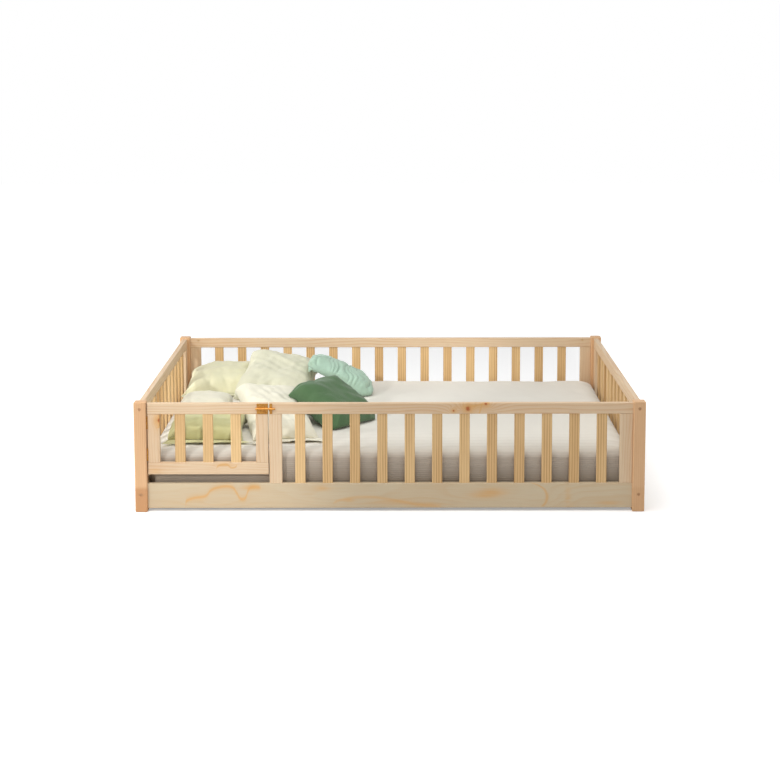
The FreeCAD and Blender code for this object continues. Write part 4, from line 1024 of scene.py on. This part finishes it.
def floor_finish(near, far):
    """Pale floor that still shows shadows; the camera sees it whiter away from the bed, save behind it."""
    tree = Tree("pale floor")
    tree.finish(Base_Color=(0.86, 0.86, 0.86), Roughness=0.9, Specular_IOR_Level=0.0)
    x, y, _ = tree.parts(tree.place())
    beside = tree.math("MAXIMUM", tree.minus(tree.math("ABSOLUTE", x), CAD_BOX[1][0]), 0.0)
    before = tree.math("MAXIMUM", tree.minus(CAD_BOX[0][1], y), 0.0)
    behind = tree.math("MAXIMUM", tree.minus(y, BEHIND), 0.0)
    away = tree.node("ShaderNodeVectorMath", {0: tree.joined(beside, before, behind)}, out=1,
                     operation="LENGTH")
    seen = tree.node("ShaderNodeLightPath", {}, out="Is Camera Ray")
    glow = tree.node("ShaderNodeEmission",
                     {"Strength": tree.times(seen, tree.between(away, 0.0, 0.5, near, far))})
    both = tree.node("ShaderNodeAddShader", {0: tree.nodes["Principled BSDF"].outputs[0], 1: glow})
    tree.put(tree.nodes["Material Output"].inputs["Surface"], both)
    return tree.owner


def white_world(strength):
    """Even light all round, seen as plain white by the camera and in reflections."""
    world = bpy.data.worlds.new("studio")
    tree = Tree(world)
    rays = tree.nodes.new("ShaderNodeLightPath").outputs
    seen = tree.math("MAXIMUM", rays["Is Camera Ray"], rays["Is Glossy Ray"])
    clear = tree.math("MAXIMUM", seen, rays["Is Transmission Ray"])
    back = tree.nodes["Background"].inputs
    tree.put(back["Color"], (1.0, 1.0, 1.0))
    level = tree.node("ShaderNodeMapRange", {"Value": clear, "To Min": strength, "To Max": 1.0})
    tree.put(back["Strength"], level)
    bpy.context.scene.world = world


class BED_OT_stage(bpy.types.Operator):
    """Set the camera, the lamps, the floor and the white surroundings."""
    bl_idname = "bed.stage"
    bl_label = "Camera, lamps and floor"

    def execute(self, context):
        settings = context.scene.bed_stage
        scene = context.scene
        scene.view_settings.view_transform = "Standard"
        data = bpy.data.cameras.new("camera")
        data.sensor_width = 36.0
        data.lens = settings.lens
        data.shift_x = settings.shift_x
        data.shift_y = settings.shift_y
        camera = placed("camera", data)
        aim = (Matrix.Rotation(settings.camera_turn, 3, "Z")
               @ Matrix.Rotation(math.pi / 2 + settings.camera_tilt, 3, "X")
               @ Matrix.Rotation(settings.camera_roll, 3, "Z"))
        camera.matrix_world = Matrix.Translation(settings.camera_place) @ aim.to_4x4()
        scene.camera = camera

        # The key's soft right edge crosses the bed, so that its left is lit more.
        lamp("key", "SPOT", (-4.98, -7.21, 4.0), (-2.3, 0.7, 0.1), settings.key_power, shadow_soft_size=0.14,
             spot_size=KEY_CONE, spot_blend=0.15)
        lamp("overhead", "AREA", (-0.2, -1.6, 3.3), (0.0, -0.2, 0.2), settings.top_power, shape="DISK",
             size=4.2)
        for side, name, share in ((-1, "left fill", 1.0), (1, "right fill", 0.35)):
            lamp(name, "AREA", (4.6 * side, -0.6, 1.5), (-0.6 * side, 0.0, 0.3), share * settings.fill_power,
                 shape="DISK", size=2.4)
        white_world(settings.sky)

        mesh = bpy.data.meshes.new("floor")
        reach = 14.0
        mesh.from_pydata([(-reach, -reach, 0), (reach, -reach, 0), (reach, reach, 0), (-reach, reach, 0)], [],
                         [(0, 1, 2, 3)])
        mesh.materials.append(floor_finish(settings.lift_near, settings.lift_far))
        floor = placed("floor", mesh)
        return {"FINISHED"}


# ---- panel, registration
STEPS = (BED_OT_boards, BED_OT_rails, BED_OT_uprights, BED_OT_metal, BED_OT_mattress, BED_OT_pillows,
         BED_OT_stage)
GROUPS = {"bed_timber": BED_PG_timber, "bed_metal": BED_PG_metal, "bed_bedding": BED_PG_bedding,
          "bed_stage": BED_PG_stage}


class BED_PT_panel(bpy.types.Panel):
    """Lists the settings and the steps that use them."""
    bl_idname = "BED_PT_panel"
    bl_label = "Floor bed"
    bl_space_type = "VIEW_3D"
    bl_region_type = "UI"
    bl_category = "Floor bed"

    def draw(self, context):
        for group, kind in GROUPS.items():
            box = self.layout.box()
            for setting in kind.__annotations__:
                box.prop(getattr(context.scene, group), setting)
        for step in STEPS:
            self.layout.operator(step.bl_idname)


CLASSES = (*GROUPS.values(), *STEPS, BED_PT_panel)


def register():
    for kind in CLASSES:
        bpy.utils.register_class(kind)
    for name, kind in GROUPS.items():
        setattr(bpy.types.Scene, name, PointerProperty(type=kind))


def unregister():
    for name in GROUPS:
        delattr(bpy.types.Scene, name)
    for kind in reversed(CLASSES):
        bpy.utils.unregister_class(kind)


def main():
    register()
    for step in STEPS:
        getattr(bpy.ops.bed, step.bl_idname.split(".")[1])()


if __name__ == "__main__":
    main()
